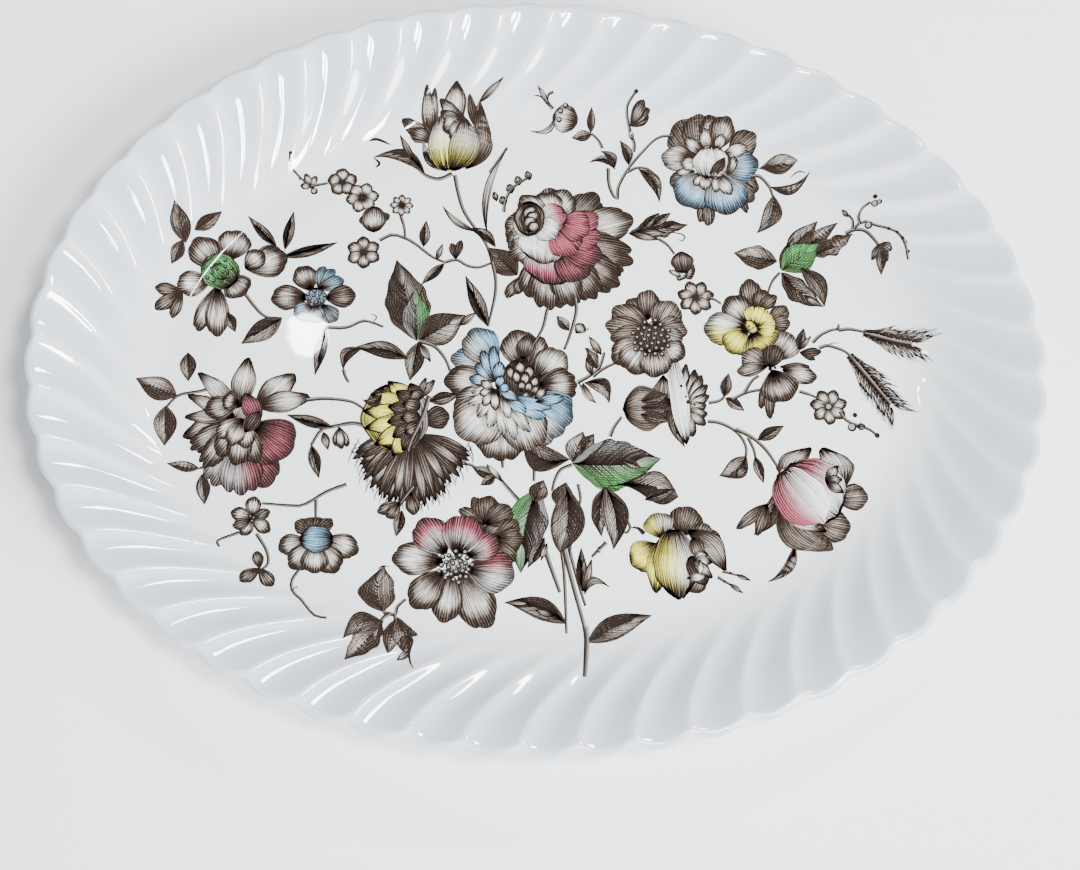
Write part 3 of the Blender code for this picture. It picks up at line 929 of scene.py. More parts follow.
leaf(p, 18, 96, 10.4, 94.4, 4.2, 0.3)
fan(p, 12.5, 100.5, [(2.8, 102, 10.5)], "pale", blunt=0.2, full=0.5, dark=(1.0, 0.2, 0.2, 0.6))
for x, y in ((5.8, 104), (7.6, 106), (5.4, 101)):
    ring(p, x, y, 1.7)
leaf(p, 4, 103, -5, 96.5, 2.2, 0.35, 0.4, 0.2, bow=0.3)
stem(p, [(3, 104.6), (0.8, 107), (1, 109.3), (3, 110.4)], 0.6)
leaf(p, 1.6, 105.4, -3, 112.4, 1.8, 0.4)
line(p, [(0, 107), (-2, 108.6), (-4.6, 108.9)], 0.6)
leaf(p, 32.5, 56, 54.3, 60.8, 7.6, 0.5, 0.5, 0.3, hook=-0.02, waves=(4, 0.2))
leaf(p, 37, 58, 43.8, 64.8, 3.6, 0.5)
leaf(p, 41, 59.5, 48, 65, 3.6, 0.5)
leaf(p, 36, 56.2, 46.5, 57, 2.6, 0.5)
leaf(p, 33, 56, 44, 54, 3, 0.6)
line(p, [(46.5, 57), (50, 57), (52.8, 56.3), (53.2, 54.6), (51.8, 53.8), (50.6, 55)], 0.6)
stem(p, [(43.5, 54.5), (47, 52), (49.5, 48.6)], 0.5)
printed_spray("rose", p)

# ---------------------------------------------------------------------------------------
# The tulip at the top left of the middle, with a curled leaf and two thin stalks. Printed
# in sepia under the glaze, its cup washed by hand with yellow enamel at the base.

p = new_plate(4)
fan(p, -34, 97, [(-33.4, 112.6, 8.5)], "edged", blunt=0.15)
fan(p, -43, 91, [(-41.4, 109.6, 4.6), (-44.4, 110.2, 5.6)], "deep", blunt=0.4)
fan(p, -26, 97, [(-28.6, 108.4, 4)], "dark", blunt=0.5)
fan(p, -29, 80, [(-24.4, 106, 8), (-22.6, 100, 9)], "brown", blunt=0.3, bow=-0.12)
fan(p, -41, 90, [(-53.4, 98, 5.4), (-50.4, 94.4, 6)], "deep", bow=-0.08, base=0.3)
leaf(p, -36, 79, -45.4, 91, 4, 0.6, 0.5, 0.3, wash="yellow root", bow=0.14)
fan(p, -35, 79, [(-37, 102, 16)], "pale", "yellow root", blunt=0.3, belly=0.4, full=0.5,
    dark=(0.1, 1.2, 0.8, 0.8))
fan(p, -29, 99, [(-39.6, 106, 6.4), (-39.4, 101.6, 6)], "deep", blunt=0.3, bow=0.12)
fan(p, -31, 100, [(-38, 95, 8), (-34.6, 91.4, 7)], "edged", blunt=0.6)
fan(p, -34, 79, [(-29.6, 100, 12)], "brown", "yellow root", blunt=0.15, full=0.6, bow=-0.1, base=0.35)
leaf(p, -25, 105.6, -16, 114.6, 2.6, 0.4)
stem(p, [(-25.3, 103), (-24.8, 106)], 0.4)
stem(p, [(-33.8, 78), (-38.8, 75.6), (-43.8, 77), (-47, 80)], 1.0)
leaf(p, -44, 77.5, -63, 84.5, 5.4, 0.45, 0.2, 0.6, bow=-0.2, hook=0.05)
leaf(p, -48.5, 83, -54, 92.4, 2.6, 0.7)
line(p, [(-63.4, 83.4), (-61.2, 81.2), (-62.6, 79.4)], 1.0)
line(p, [(-57, 88.6), (-62.5, 90.3), (-65.6, 89.4)], 1.1)
stem(p, [(-32.8, 77.5), (-31.3, 70.6), (-28.8, 63), (-24.4, 56.3), (-20, 50), (-17.5, 43)], 0.9)
leaf(p, -24, 55, -36.6, 64.5, 2.6, 0.4, bow=0.1)
stem(p, [(-20, 79), (-17, 84), (-13.8, 89.6)], 0.4)
printed_spray("tulip", p)

# ---------------------------------------------------------------------------------------
# The small blossoms at the top left, with the bead chain, the sprig and the twig below
# them. Printed in sepia under the glaze, and left without colour.

p = new_plate(5)
for x, y, size in ((-94, 82, 1.6), (-94.2, 78.4, 1.3), (-92.4, 75.8, 1.1), (-90.5, 73.3, 0.9)):
    dot(p, x, y, size)
stem(p, [(-94, 82), (-94, 78), (-92, 75.6), (-88, 72)], 0.3)
fan(p, -86, 70.5, [(-88.5, 75.5, 2.6), (-84.5, 75, 2.4), (-90, 71, 2.4), (-84, 68, 2.6)], "edged")
stem(p, [(-86, 71), (-80, 72.5)], 0.5)
blossom(p, -74.5, 73, 5.6, 5, turn=0.4)
blossom(p, -66.7, 67, 6.2, 6, "pale", turn=0.2)
fan(p, -62, 58.6, [(-67.5, 57.6, 4), (-56, 60, 4)], "dark")
fan(p, -62, 63.6, [(-62, 53.2, 9)], "edged", blunt=0.0, full=0.5)
blossom(p, -52, 64.4, 4.4, 8, "pale")
blossom(p, -65, 45, 6.4, 6, "edged", turn=0.6)
stem(p, [(-59.4, 50), (-55, 52.5), (-50, 51.3), (-45.6, 48.8), (-40, 44.4), (-35, 42.2)], 0.7)
stem(p, [(-35, 42.2), (-30.6, 43.4), (-26.9, 41.3), (-22.5, 40.6), (-18, 42.5)], 0.7)
stem(p, [(-52, 60), (-50.5, 55.5), (-50, 51.5)], 0.4)
leaf(p, -43, 48, -42.5, 58.4, 4, 0.5)
leaf(p, -38, 43, -36, 49.4, 2.2, 0.5)
fan(p, -31, 43.6, [(-32.8, 50, 3), (-29.3, 51.2, 3)], "dark")
leaf(p, -35, 41.8, -43, 33.2, 3.6, 0.4)
printed_spray("small_blossoms", p)

# ---------------------------------------------------------------------------------------
# Two open flowers at the upper left. Printed in sepia under the glaze, the button of one
# washed by hand with green enamel and the petals of the other with blue.

p = new_plate(6)
leaf(p, -130, 45, -134.5, 59.5, 7, 0.4, 0.3, 0.5)
leaf(p, -127, 50, -117.8, 58.2, 5, 0.5)
leaf(p, -131, 46, -134.4, 36.6, 4.6, 0.5)
fan(p, -130, 27, [(-139.5, 27, 5), (-139, 19, 5), (-133, 16.5, 4)], "brown")
leaf(p, -97, 46, -108.4, 57.8, 4, 0.5)
leaf(p, -94, 45, -91.8, 60.4, 4, 0.5)
leaf(p, -95, 42, -74.5, 47.4, 4.2, 0.5, hook=0.06)
stem(p, [(-108, 28), (-100, 19), (-93, 18)], 0.8)
leaf(p, -93, 18, -107, 7.6, 8, 0.3, 0.1, 0.8)
fan(p, -114, 40, [(-111.6, 52, 12.5)], "pale")
fan(p, -118, 37, [(-127, 47, 12)], "deep")
fan(p, -108, 37, [(-93, 42.5, 13), (-102, 44, 8)], "edged")
fan(p, -114, 34, [(-107.5, 26.5, 11)], "deep")
fan(p, -120, 32, [(-132, 29, 10)], "pale")
fan(p, -117.5, 30, [(-123.5, 12, 7), (-116, 10, 9)], "pale")
leaf(p, -113, 19.5, -109.6, 12, 4, 0.5)
fan(p, -111.5, 30.5, [(-122.5, 40.5, 13.5)], "brown", "green all", blunt=0.0, full=0.45, base=0.12, edge=0.5)
fan(p, -114.6, 32.6, [(-119.4, 38.4, 6)], "dark", "green all", blunt=0.0, full=0.45, base=0.3)
stamens(p, -117, 35.4, 5.4, 14, 1.0)
fan(p, -84, 26.5, [(-97.6, 26, 10)], "deep")
fan(p, -83, 29, [(-88, 38.6, 9)], "deep")
fan(p, -80.5, 30, [(-79.4, 39, 5), (-75.4, 38, 5), (-71.6, 34, 6)], "brown", "blue tip")
fan(p, -78, 26.5, [(-66.8, 28, 9)], "brown")
fan(p, -79, 24, [(-73.4, 17.4, 7)], "dark", "blue root")
fan(p, -82, 24, [(-80, 16.8, 7), (-88, 18.5, 8)], "deep", "blue tip")
fan(p, -81.2, 22.6, [(-81.2, 30.4, 7.6)], "brown", "blue all", blunt=0.0, full=0.5, base=0.2)
stamens(p, -81.2, 26.4, 3.4, 10, 1.2)
stem(p, [(-77, 15), (-69.4, 15.3), (-63.8, 18), (-60, 17.5), (-56, 16)], 0.6)
line(p, [(-60, 17.5), (-58.6, 19.8), (-60.8, 20.8)], 0.5)
leaf(p, -77, 15, -79.6, -3.4, 4.4, 0.6)
leaf(p, -126, 3.5, -125, -7.4, 6, 0.4)
printed_spray("open_pair", p)

# ---------------------------------------------------------------------------------------
# The three dark leaves left of the peony and the long leaf beside them. Printed in sepia
# under the glaze, the middle one washed down one side with green enamel.

p = new_plate(7)
leaf(p, -43.6, 11, -52.6, 42.4, 16, 0.5, 0.5, 0.4, waves=(4, 0.06))
leaf(p, -43.8, 11, -45, 31.4, 10, 0.45, 0.3, 0.3, wash="green right")
leaf(p, -43, 11, -26.6, 21.6, 12.5, 0.2, 0.6, 0.4)
leaf(p, -28.5, 17.4, -22.6, 22.8, 3, 0.6)
leaf(p, -43, 10.5, -45.4, -4.4, 7, 0.4)
leaf(p, -42.5, 10, -38.2, 3, 3, 0.5)
stem(p, [(-43, 11), (-37, 9), (-33, 4.5), (-31, 0)], 0.8)
leaf(p, -46.5, 4, -66, 7.6, 6.4, 0.4, 0.5, 0.3, bow=-0.08)
leaf(p, -63, 7.4, -69.4, -1.4, 4.6, 0.7, bow=-0.3)
stem(p, [(-69.4, -1), (-68.6, -3.5), (-67.2, -5.8)], 0.7)
printed_spray("dark_leaves", p)

# ---------------------------------------------------------------------------------------
# The ragged pink flower at the left, seen half from the side, with the twigs round it.
# Printed in sepia under the glaze, its middle and lower petals washed with rose enamel.

p = new_plate(8)
stem(p, [(-112, -8), (-120, -11), (-128, -13), (-132, -18)], 0.7)
leaf(p, -128.5, -13, -143, -8, 9, 0.4)
leaf(p, -132, -17, -131, -32.4, 8, 0.4)
leaf(p, -118, -40, -129.4, -39, 4, 0.5)
leaf(p, -117, -42, -115, -53.4, 5, 0.5)
stem(p, [(-108, -34), (-113, -38), (-118, -40)], 0.7)
fan(p, -109, -27, [(-105, -11, 13)], "deep")
fan(p, -106, -17, [(-121.6, -4, 7), (-104, 2.4, 9.5)], "pale", blunt=0.35)
fan(p, -100, -16, [(-86.6, -3.6, 11), (-80.6, -12, 9)], "pale", blunt=0.5)
fan(p, -107, -20, [(-125, -28.5, 9.5), (-125, -21, 6), (-124.6, -12.6, 6)], "deep", blunt=0.4)
fan(p, -106, -15, [(-118, -18.5, 9), (-112, -14, 7)], "deep")
fan(p, -104, -31, [(-92, -45, 15)], "deep", "rose all", base=0.35)
fan(p, -105, -30, [(-113.4, -46, 14), (-102, -49.4, 16)], "deep", "rose left", waves=(3, 0.07))
fan(p, -101, -23, [(-86.4, -33.5, 19)], "deep", "rose all", dark=(0.8, 0.6, 0.6, 0.3), base=0.3)
fan(p, -106, -22, [(-122, -33, 9), (-117, -39.6, 9)], "deep", waves=(3, 0.06))
fan(p, -104, -22, [(-112, -35, 9), (-98, -37.4, 8), (-105, -38.4, 9)], "deep")
fan(p, -104, -21, [(-113, -28, 7), (-102, -32, 7), (-108, -31, 7)], "pale")
fan(p, -98, -22, [(-104.5, -11.5, 8)], "pale", "rose all", blunt=0.5, base=0.3)
fan(p, -103, -26, [(-98.5, -18, 6)], "dark", blunt=0.2)
stem(p, [(-82, -13), (-75, -12.2), (-66, -13), (-61.3, -15.6)], 0.8)
printed_spray("ragged_pink", p)

# ---------------------------------------------------------------------------------------
# The scaly bud left of the peony with its feathered ruff, and the twig hanging beside it.
# Printed in sepia under the glaze, its outer scales washed by hand with yellow enamel.

p = new_plate(9)
for k in range(34):
    share = (k * 13 % 34) / 33.0
    bend = math.radians(204 + 134 * share)
    reach = 20.0 + 8.0 * math.sin(math.pi * share) ** 2 + p["chance"].uniform(-2.0, 1.5)
    tip = (-46 + 5 * share + reach * math.cos(bend), -23 + reach * math.sin(bend))
    look = ("brown", "deep", "dark")[k % 3]
    fan(p, -46 + 5 * share, -25, [(*tip, 3.6)], look, blunt=0.1, full=0.6, bow=0.08 * (share - 0.5), edge=0.3)
    for side in (-0.9, 0.9):
        feather = [(tip[0] - side, tip[1] + 4), (tip[0] + side, tip[1] + 1)]
        feather.append((tip[0] + 1.6 * side, tip[1] - 1.6))
        line(p, feather, 0.3)
leaf(p, -38, -12, -27.4, -9.2, 5, 0.6)
fan(p, -42, -11, [(-36.4, -3.8, 4), (-39.6, -3, 3)], "brown", blunt=0.4)
fan(p, -40, -20, [(-30.6, -16.5, 9)], "dark")
fan(p, -47, -31, [(-52.4, -5.8, 24)], "brown", "yellow left", blunt=0.0, full=0.48, edge=0.5, base=0.25)
for tip_x, tip_y in ((-53, -5), (-59, -10), (-61.5, -16.5), (-60.5, -23), (-56.5, -29), (-50, -33)):
    fan(p, -43, -18 + 0.3 * (tip_y + 18), [(tip_x, tip_y, 7.4)], "pale", "yellow all", blunt=0.0,
        belly=0.4, edge=0.5)
for tip_x, tip_y in ((-45, -5.5), (-50, -8.6), (-52.6, -14.5), (-52.6, -20.5), (-50.4, -26), (-46.5, -31)):
    fan(p, -42, -17 + 0.4 * (tip_y + 17), [(tip_x, tip_y, 6.4)], "dark", blunt=0.0, belly=0.4, edge=0.5)
for tip_x, tip_y in ((-44.6, -8.6), (-47.4, -13.2), (-47.8, -18.8), (-46, -24.5)):
    fan(p, -41, -16 + 0.6 * (tip_y + 16), [(tip_x, tip_y, 5.6)], "brown", blunt=0.0, belly=0.4, edge=0.5)
leaf(p, -55, -10, -61.6, -12.4, 4, 0.8, bow=0.3)
stem(p, [(-38.0, -10), (-40, -18), (-43.6, -27), (-44.5, -31)], 1.2)
stem(p, [(-61.3, -22), (-65, -21.3), (-72.5, -23), (-76, -24.4), (-79, -30)], 0.7)
leaf(p, -72, -23, -88.4, -19, 4.2, 0.5)
leaf(p, -79, -30, -75.6, -42, 4.2, 0.5)
leaf(p, -75, -25, -73, -31.4, 3, 0.5)
fan(p, -69.5, -23, [(-70.4, -30, 3), (-66, -30, 3), (-68.3, -31, 3.4)], "edged")
stem(p, [(-65.6, -44), (-72.5, -47), (-80, -52), (-85, -52.5), (-95, -52)], 0.7)
stem(p, [(-76, -50), (-75.6, -58)], 0.6)
fan(p, -43, -46, [(-41, -54.4, 5)], "brown")
stem(p, [(-42, -44), (-44.4, -47.5), (-46.3, -50.5)], 0.7)
fan(p, -46.3, -50, [(-54, -54, 4.4), (-50.4, -56, 4.4)], "brown")
leaf(p, -45.5, -53, -47, -62.4, 4, 0.5)
printed_spray("scaly_bud", p)

# ---------------------------------------------------------------------------------------
# The two small flowers at the lower left and the leaves that hang below them. Printed in
# sepia under the glaze, the second flower's button washed by hand with blue enamel.

p = new_plate(10)
fan(p, -98, -57, [(-98, -49.6, 5.6), (-105.6, -55.6, 5), (-91.6, -62.4, 5), (-101, -64, 5)], "edged")
fan(p, -98, -58, [(-104.4, -61, 4.4), (-92, -54.6, 4)], "brown")
stamens(p, -98, -57.4, 1.2, 3, 1.0)
stem(p, [(-102, -63), (-107, -65.5), (-109, -67), (-108, -69)], 0.4)
stem(p, [(-96, -63), (-92, -69), (-91, -74), (-93.4, -77)], 0.6)
fan(p, -93.6, -76, [(-95.4, -69.6, 4), (-99.6, -81.4, 5), (-88.6, -82.4, 5)], "brown")
fan(p, -76, -62, [(-82.8, -58.4, 6), (-78.4, -56.6, 5), (-74, -56.4, 5), (-69.6, -57.2, 5)], "dark")
fan(p, -72, -64, [(-60, -68.4, 9)], "edged")
fan(p, -78, -65, [(-88, -68, 8)], "edged")
fan(p, -75, -66, [(-83.4, -75, 9), (-66.6, -75.6, 10), (-75, -76.6, 10)], "edged")
fan(p, -69, -64.4, [(-80.6, -64.4, 9.6)], "brown", "blue all", blunt=0.0, full=0.45, base=0.15, edge=0.5)
stem(p, [(-80, -75.5), (-82, -79), (-82.2, -82), (-81, -84.5), (-78.5, -86.5), (-75.5, -90),
         (-73, -92.5), (-69, -93)], 0.4)
line(p, [(-81.8, -84), (-80.6, -81.8), (-80, -83)], 0.4)
leaf(p, -50, -89.6, -52.4, -73.4, 13, 0.4, 0.5, 0.4, bow=0.1, hook=-0.12, waves=(2, 0.1))
line(p, [(-52.8, -74.6), (-51.2, -73.2), (-48.6, -73.4)], 0.6)
stem(p, [(-50, -89.5), (-47.5, -90.2), (-45.6, -90), (-45.4, -87.6), (-42.5, -84.6)], 0.8)
stem(p, [(-46, -90), (-45.4, -93)], 0.8)
stem(p, [(-47.6, -90), (-50, -92), (-50.4, -95)], 0.8)
leaf(p, -49.6, -93.4, -62.6, -100.4, 8, 0.45, 0.2, 0.5, bow=-0.22)
leaf(p, -50, -94, -61.4, -108.4, 9, 0.4, 0.4, 0.2, waves=(3, 0.1))
leaf(p, -50.4, -94, -52, -101, 3.4, 0.7)
leaf(p, -46, -92.4, -47, -105.6, 6, 0.4, 0.2, 0.6)
leaf(p, -45, -91.4, -39.8, -106, 7, 0.45, 0.3, 0.3, waves=(3, 0.1))
fan(p, -40, -98, [(-43.4, -100.6, 3), (-42.6, -103.6, 3), (-39, -96, 4)], "dark")
line(p, [(-40.5, -100), (-39.6, -107), (-37.8, -110.8)], 1.1, "end")
leaf(p, -39.8, -104, -43.8, -107.4, 2.6, 0.4)
printed_spray("lower_left", p)

# ---------------------------------------------------------------------------------------
# The big open anemone at the bottom, with a dark flower behind it. Printed in sepia under
# the glaze, its upper petals washed by hand with rose enamel.

p = new_plate(11)
fan(p, -18, -62, [(-5, -57, 10), (-10, -53, 9)], "dark", base=0.55)
fan(p, -16, -57, [(-25.4, -51.6, 5), (-20.6, -47, 5), (-15, -46.4, 9), (-7, -50.6, 9)], "dark", base=0.55)
fan(p, -12, -62, [(-4.4, -55.6, 7.5), (-2.6, -62.4, 9.5), (-5.2, -70, 6.5)], "dark", base=0.55)
fan(p, -24, -74, [(-13.6, -94, 14)], "edged", cuts=(6, 0.6, 12, 0.4))
fan(p, -27, -75, [(-29, -92.6, 11)], "edged", cuts=(6, 0.6, 12, 0.4))
fan(p, -30, -74, [(-40, -87.6, 12)], "deep", cuts=(10, 0.7, 12, 0.4))
fan(p, -30, -71, [(-48, -69.6, 12)], "pale")
fan(p, -22, -73, [(-5, -74.4, 16)], "deep", "rose left", cuts=(10, 0.8, 8, 0.25))
fan(p, -29, -68, [(-39.4, -56.4, 13)], "pale", "rose tip")
fan(p, -22, -69, [(-11.6, -61.6, 11)], "pale", "rose tip")
fan(p, -25.5, -69, [(-22.4, -54, 15)], "deep", "rose tip", dark=(1.0, 0.3, 0.2, 0.2))
fan(p, -25, -76, [(-26, -69, 7)], "pale", blunt=0.0, full=0.5)
stamens(p, -25.6, -72.4, 6.2, 26, 1.5)
printed_spray("anemone", p)

# ---------------------------------------------------------------------------------------
# The blue peony at the upper right, round a bare button, with the leaves on its right.
# Printed in sepia under the glaze, its lower and right-hand petals washed with blue enamel.

p = new_plate(12)
fan(p, 58, 88, [(50.4, 101, 16), (57, 103, 12)], "dark", base=0.5)
fan(p, 64, 90, [(61, 102.6, 8), (68, 101.6, 10)], "deep")
fan(p, 69, 88, [(78.6, 95.4, 10)], "dark", base=0.5)
fan(p, 57, 87, [(44.2, 87.4, 10)], "deep", dark=(1.2, 0.4, 0.2, 0.2))
fan(p, 56, 81, [(47.6, 76.4, 7.5)], "dark", base=0.5)
fan(p, 57, 82.4, [(49.6, 81.4, 3.4)], "pale")
fan(p, 70, 80, [(80.4, 75, 9), (78.6, 70.6, 8), (76.6, 66, 4)], "dark", base=0.5)
fan(p, 62, 72, [(59, 61.6, 5), (62, 60.2, 5)], "dark", base=0.5)
fan(p, 66, 84, [(80.4, 84.4, 12)], "deep", "blue tip")
fan(p, 61, 82, [(52.6, 68, 16)], "edged", "blue tip", dark=(1.3, 1.3, 0.7, 0.5), cuts=(12, 0.6, 18, 0.3))
fan(p, 65, 82, [(71, 65.6, 17)], "edged", "blue tip", dark=(1.3, 1.3, 0.5, 0.7), cuts=(12, 0.6, 18, 0.3))
fan(p, 59, 89, [(53, 95, 4)], "white")
fan(p, 61, 90, [(60, 98, 4.4)], "white")
fan(p, 65, 90, [(66.6, 96, 4)], "white")
fan(p, 67, 89, [(76, 90.8, 4.6)], "white")
fan(p, 58, 86, [(51.6, 84.6, 5.4)], "white")
fan(p, 61, 81, [(56.4, 76.6, 3.6), (60.4, 74.8, 4.6)], "white")
fan(p, 65.6, 81, [(64.6, 74, 3.8), (70.4, 73.2, 5)], "white")
fan(p, 69, 81, [(71.6, 88, 4)], "pale")
fan(p, 66.6, 82, [(69, 88.6, 5)], "dark", blunt=0.0, full=0.5)
fan(p, 62.6, 79.4, [(62.8, 92, 13)], "white", blunt=0.0, full=0.5, edge=0.4, dark=(0.3, 0.1, 0.1, 0.2))
for k in range(7):
    line(p, [(60.4 + 0.8 * k, 88.6 - 0.6 * k), (62 + 0.8 * k, 90 - 0.6 * k)], 0.18)
fan(p, 67.8, 87.6, [(65, 81.6, 3.6), (62.4, 81.4, 3)], "dark", blunt=0.3)
stem(p, [(77.5, 80.6), (81, 80.5), (84.6, 76.6), (86, 73)], 0.7)
leaf(p, 86.2, 73.4, 82.4, 57.4, 7, 0.3, 0.3, 0.4, bow=0.1, hook=-0.16)
leaf(p, 80.5, 83.4, 94.6, 85.4, 7, 0.2, 0.2, 0.7, belly=0.55)
leaf(p, 85, 76.6, 99.4, 79.4, 3.6, 0.55, 0.2, 0.6, bow=-0.2, hook=0.12)
line(p, [(92, 79.4), (95, 81.6), (98, 80.8)], 0.5)
printed_spray("blue_peony", p)

# ---------------------------------------------------------------------------------------
# Right of the peony: the dark anemone, the folded bell with its fringed edge, the ball bud
# and the starry blossom. Printed in sepia under the glaze, and left without colour.

p = new_plate(13)
fan(p, 50.4, 42, [(57, 43.6, 9), (54, 39.6, 6), (49.4, 40, 5)], "edged")
fan(p, 53, 41, [(52, 49.6, 9)], "brown", blunt=0.3, full=0.5)
blossom(p, 57.5, 31.5, 6.8, 7, "edged", turn=0.22)
stem(p, [(61.5, 32), (64.5, 31), (66.8, 29.4)], 0.5)
fan(p, 46, -12, [(46, 1, 9)], "dark", blunt=0.0, belly=0.35, base=0.45)
fan(p, 51, -11, [(31.6, -12.4, 17)], "dark", blunt=0.0, full=0.6, belly=0.6, base=0.4)
leaf(p, 50, -9, 54, -26, 4.6, 0.6, bow=-0.1)
fan(p, 45.6, -8, [(41, -8, 2.4)], "dark", blunt=0.0)
fan(p, 46.6, -10, [(42.6, -11.6, 2.2)], "dark", blunt=0.0)
fan(p, 47, -13, [(42.6, -14.4, 2.2)], "dark", blunt=0.0)
for tip_x, tip_y in ((48, -6.5), (50, -11.5), (48.5, -16.5)):
    leaf(p, 38, -12 + 0.5 * (tip_y + 12), tip_x, tip_y, 5, 0.8, 0.3, 0.3)
fan(p, 54, -12, [(54, 5.6, 3.4), (57.6, 3.6, 4), (60, 1.4, 4), (61.8, -2, 4), (62.4, -6, 4)], "edged")
fan(p, 54, -12, [(61.6, -10, 4), (62, -13.6, 4), (61.4, -17.4, 4), (57, -22, 4)], "edged")
fan(p, 49, 9, [(54.6, -25, 6.6)], "white", blunt=0.0, full=0.5, dark=(0.0, 0.1, 0.1, 0.1))
for x, y, size in ((52.4, -3, 1.2), (54.2, -7, 1), (55, -9, 1.6), (57.4, -10, 1), (56, -12.6, 1)):
    dot(p, x, y, size)
stem(p, [(62.4, -9), (66, -8.2), (68, -6.6)], 0.6)
leaf(p, 68, -6.6, 69.6, 2.4, 4.2, 0.45)
leaf(p, 68.5, -6.8, 75.2, -11.6, 4, 0.35)
stem(p, [(71, -7.4), (76, -4.6), (83.5, -2.8)], 0.7)
stem(p, [(75, -5), (78, 0), (80.5, 2)], 0.7)
fan(p, 40, 22, [(32.6, 30, 7), (40, 34, 9)], "dark", base=0.5)
fan(p, 41, 18, [(27, 26, 11), (24.6, 19.6, 9), (26.6, 14, 8)], "dark", base=0.4)
fan(p, 43, 18, [(49.6, 29.4, 12), (53, 21.6, 8), (54.6, 18.4, 8), (53, 15, 7)], "dark", base=0.35)
fan(p, 45, 13, [(53.4, 8, 9)], "edged")
fan(p, 40, 14, [(27.6, 5.6, 12), (33.6, 1.6, 14)], "deep", dark=(0.3, 0.9, 0.5, 0.5))
fan(p, 42, 13, [(43.6, 0, 12)], "deep", dark=(0.8, 0.9, 0.5, 0.5))
fan(p, 41.6, 9, [(41.6, 21, 12)], "dark", blunt=0.0, full=0.5)
stamens(p, 41.6, 15, 7.4, 34, 1.4)
printed_spray("dark_anemone", p)

# ---------------------------------------------------------------------------------------
# The yellow flower, the brown one below it, the forget-me-not with its buds, and the stalk
# with hanging buds. Printed in sepia under the glaze, the first flower's petals washed by
# hand with yellow enamel.

p = new_plate(14)
fan(p, 78.5, 26, [(77, 39.6, 8.5)], "brown")
fan(p, 80, 27, [(83, 35.4, 7), (87, 33.4, 5)], "brown")
fan(p, 84, 22, [(91, 29, 7), (92, 23, 7)], "dark", base=0.5)
fan(p, 86, 8, [(91.6, 19, 13)], "deep", dark=(1.2, 0.4, 0.3, 0.3))
fan(p, 76, 22, [(69.6, 32.4, 11)], "edged")
fan(p, 76, 20.6, [(60.6, 19, 13)], "edged", "yellow left", dark=(0.5, 0.9, 0.5, 0.5))
fan(p, 76, 19.6, [(69.6, 10.6, 11)], "edged", "yellow all", dark=(0.5, 0.9, 0.4, 0.4))
fan(p, 78, 19, [(83.6, 11.6, 16)], "deep", "yellow all")
fan(p, 79, 20.4, [(86.6, 22.4, 9), (81.4, 28.6, 11)], "pale", "yellow all", dark=(0.7, 0.1, 0.1, 0.1))
fan(p, 75.6, 19.4, [(79.6, 22, 5.4)], "pale", "yellow all", blunt=0.0, full=0.5, edge=0.4)
dot(p, 77, 21, 0.8)
dot(p, 78.4, 20.4, 0.8)
fan(p, 84, 6, [(74.4, 9.6, 10), (72.6, 3, 5.4)], "dark", base=0.35)
fan(p, 84.4, 5, [(86.6, 14, 8)], "dark")
fan(p, 88, 5.6, [(99, 5.8, 3.6)], "dark")
fan(p, 89, 4.6, [(101.4, 1.6, 7)], "edged", dark=(0.8, 0.9, 0.4, 0.4))
fan(p, 84.4, 2, [(81, -10.6, 4.4), (84.4, -14.4, 5)], "dark", base=0.5, blunt=0.6)
fan(p, 85.4, 4.4, [(90, -7.6, 14)], "deep")
dot(p, 84.6, 4.8, 1.6)
dot(p, 86.4, 5.2, 1.2)
leaf(p, 95, 12.6, 97, 20.8, 3.6, 0.7)
leaf(p, 95.4, 12.4, 99.6, 18, 2, 0.5)
fan(p, 95.4, 11.4, [(103.2, 12, 3.4), (101, 8.8, 2.4)], "dark")
stem(p, [(95, -3.4), (99, -4.6), (101.4, -5.6)], 0.7)
blossom(p, 105.6, -9, 6.8, 7, "edged", turn=0.3)
ring(p, 105.6, -9, 2.4)
stem(p, [(109.6, -10.6), (111.4, -13.4), (114, -15), (117, -16), (120, -17), (122.4, -18.8)], 0.6)
ring(p, 113.8, -16.4, 2.8)
fan(p, 115.6, -16.4, [(118.6, -15.8, 2.8)], "brown", blunt=0.2)
dot(p, 122.8, -19.2, 2.0)
dot(p, 115, -11.8, 1.8)
stem(p, [(62, -16), (66, -16.3), (71, -18.5), (74.5, -22), (76, -26), (75.6, -30)], 0.7)
leaf(p, 76, -28.6, 66.8, -36.8, 7.6, 0.3, 0.6, 0.2, bow=0.12, hook=-0.06)
leaf(p, 76.4, -33, 72, -36.4, 3, 0.6)
stem(p, [(72, -18.5), (78, -21.5), (83, -26), (87, -32)], 0.9)
dot(p, 87.6, -32.6, 2.6)
stem(p, [(76.6, -21.6), (78.6, -26), (79.4, -30)], 0.5)
leaf(p, 79, -28.6, 82, -38.4, 3.6, 0.4)
leaf(p, 80, -22.4, 89.4, -16.8, 4.6, 0.6)
printed_spray("yellow_flower", p)

# ---------------------------------------------------------------------------------------
# The leaves at the upper right, with tendrils, a bead chain and a bell, and the two ears of
# wheat below them. Printed in sepia under the glaze, one leaf washed with green enamel.

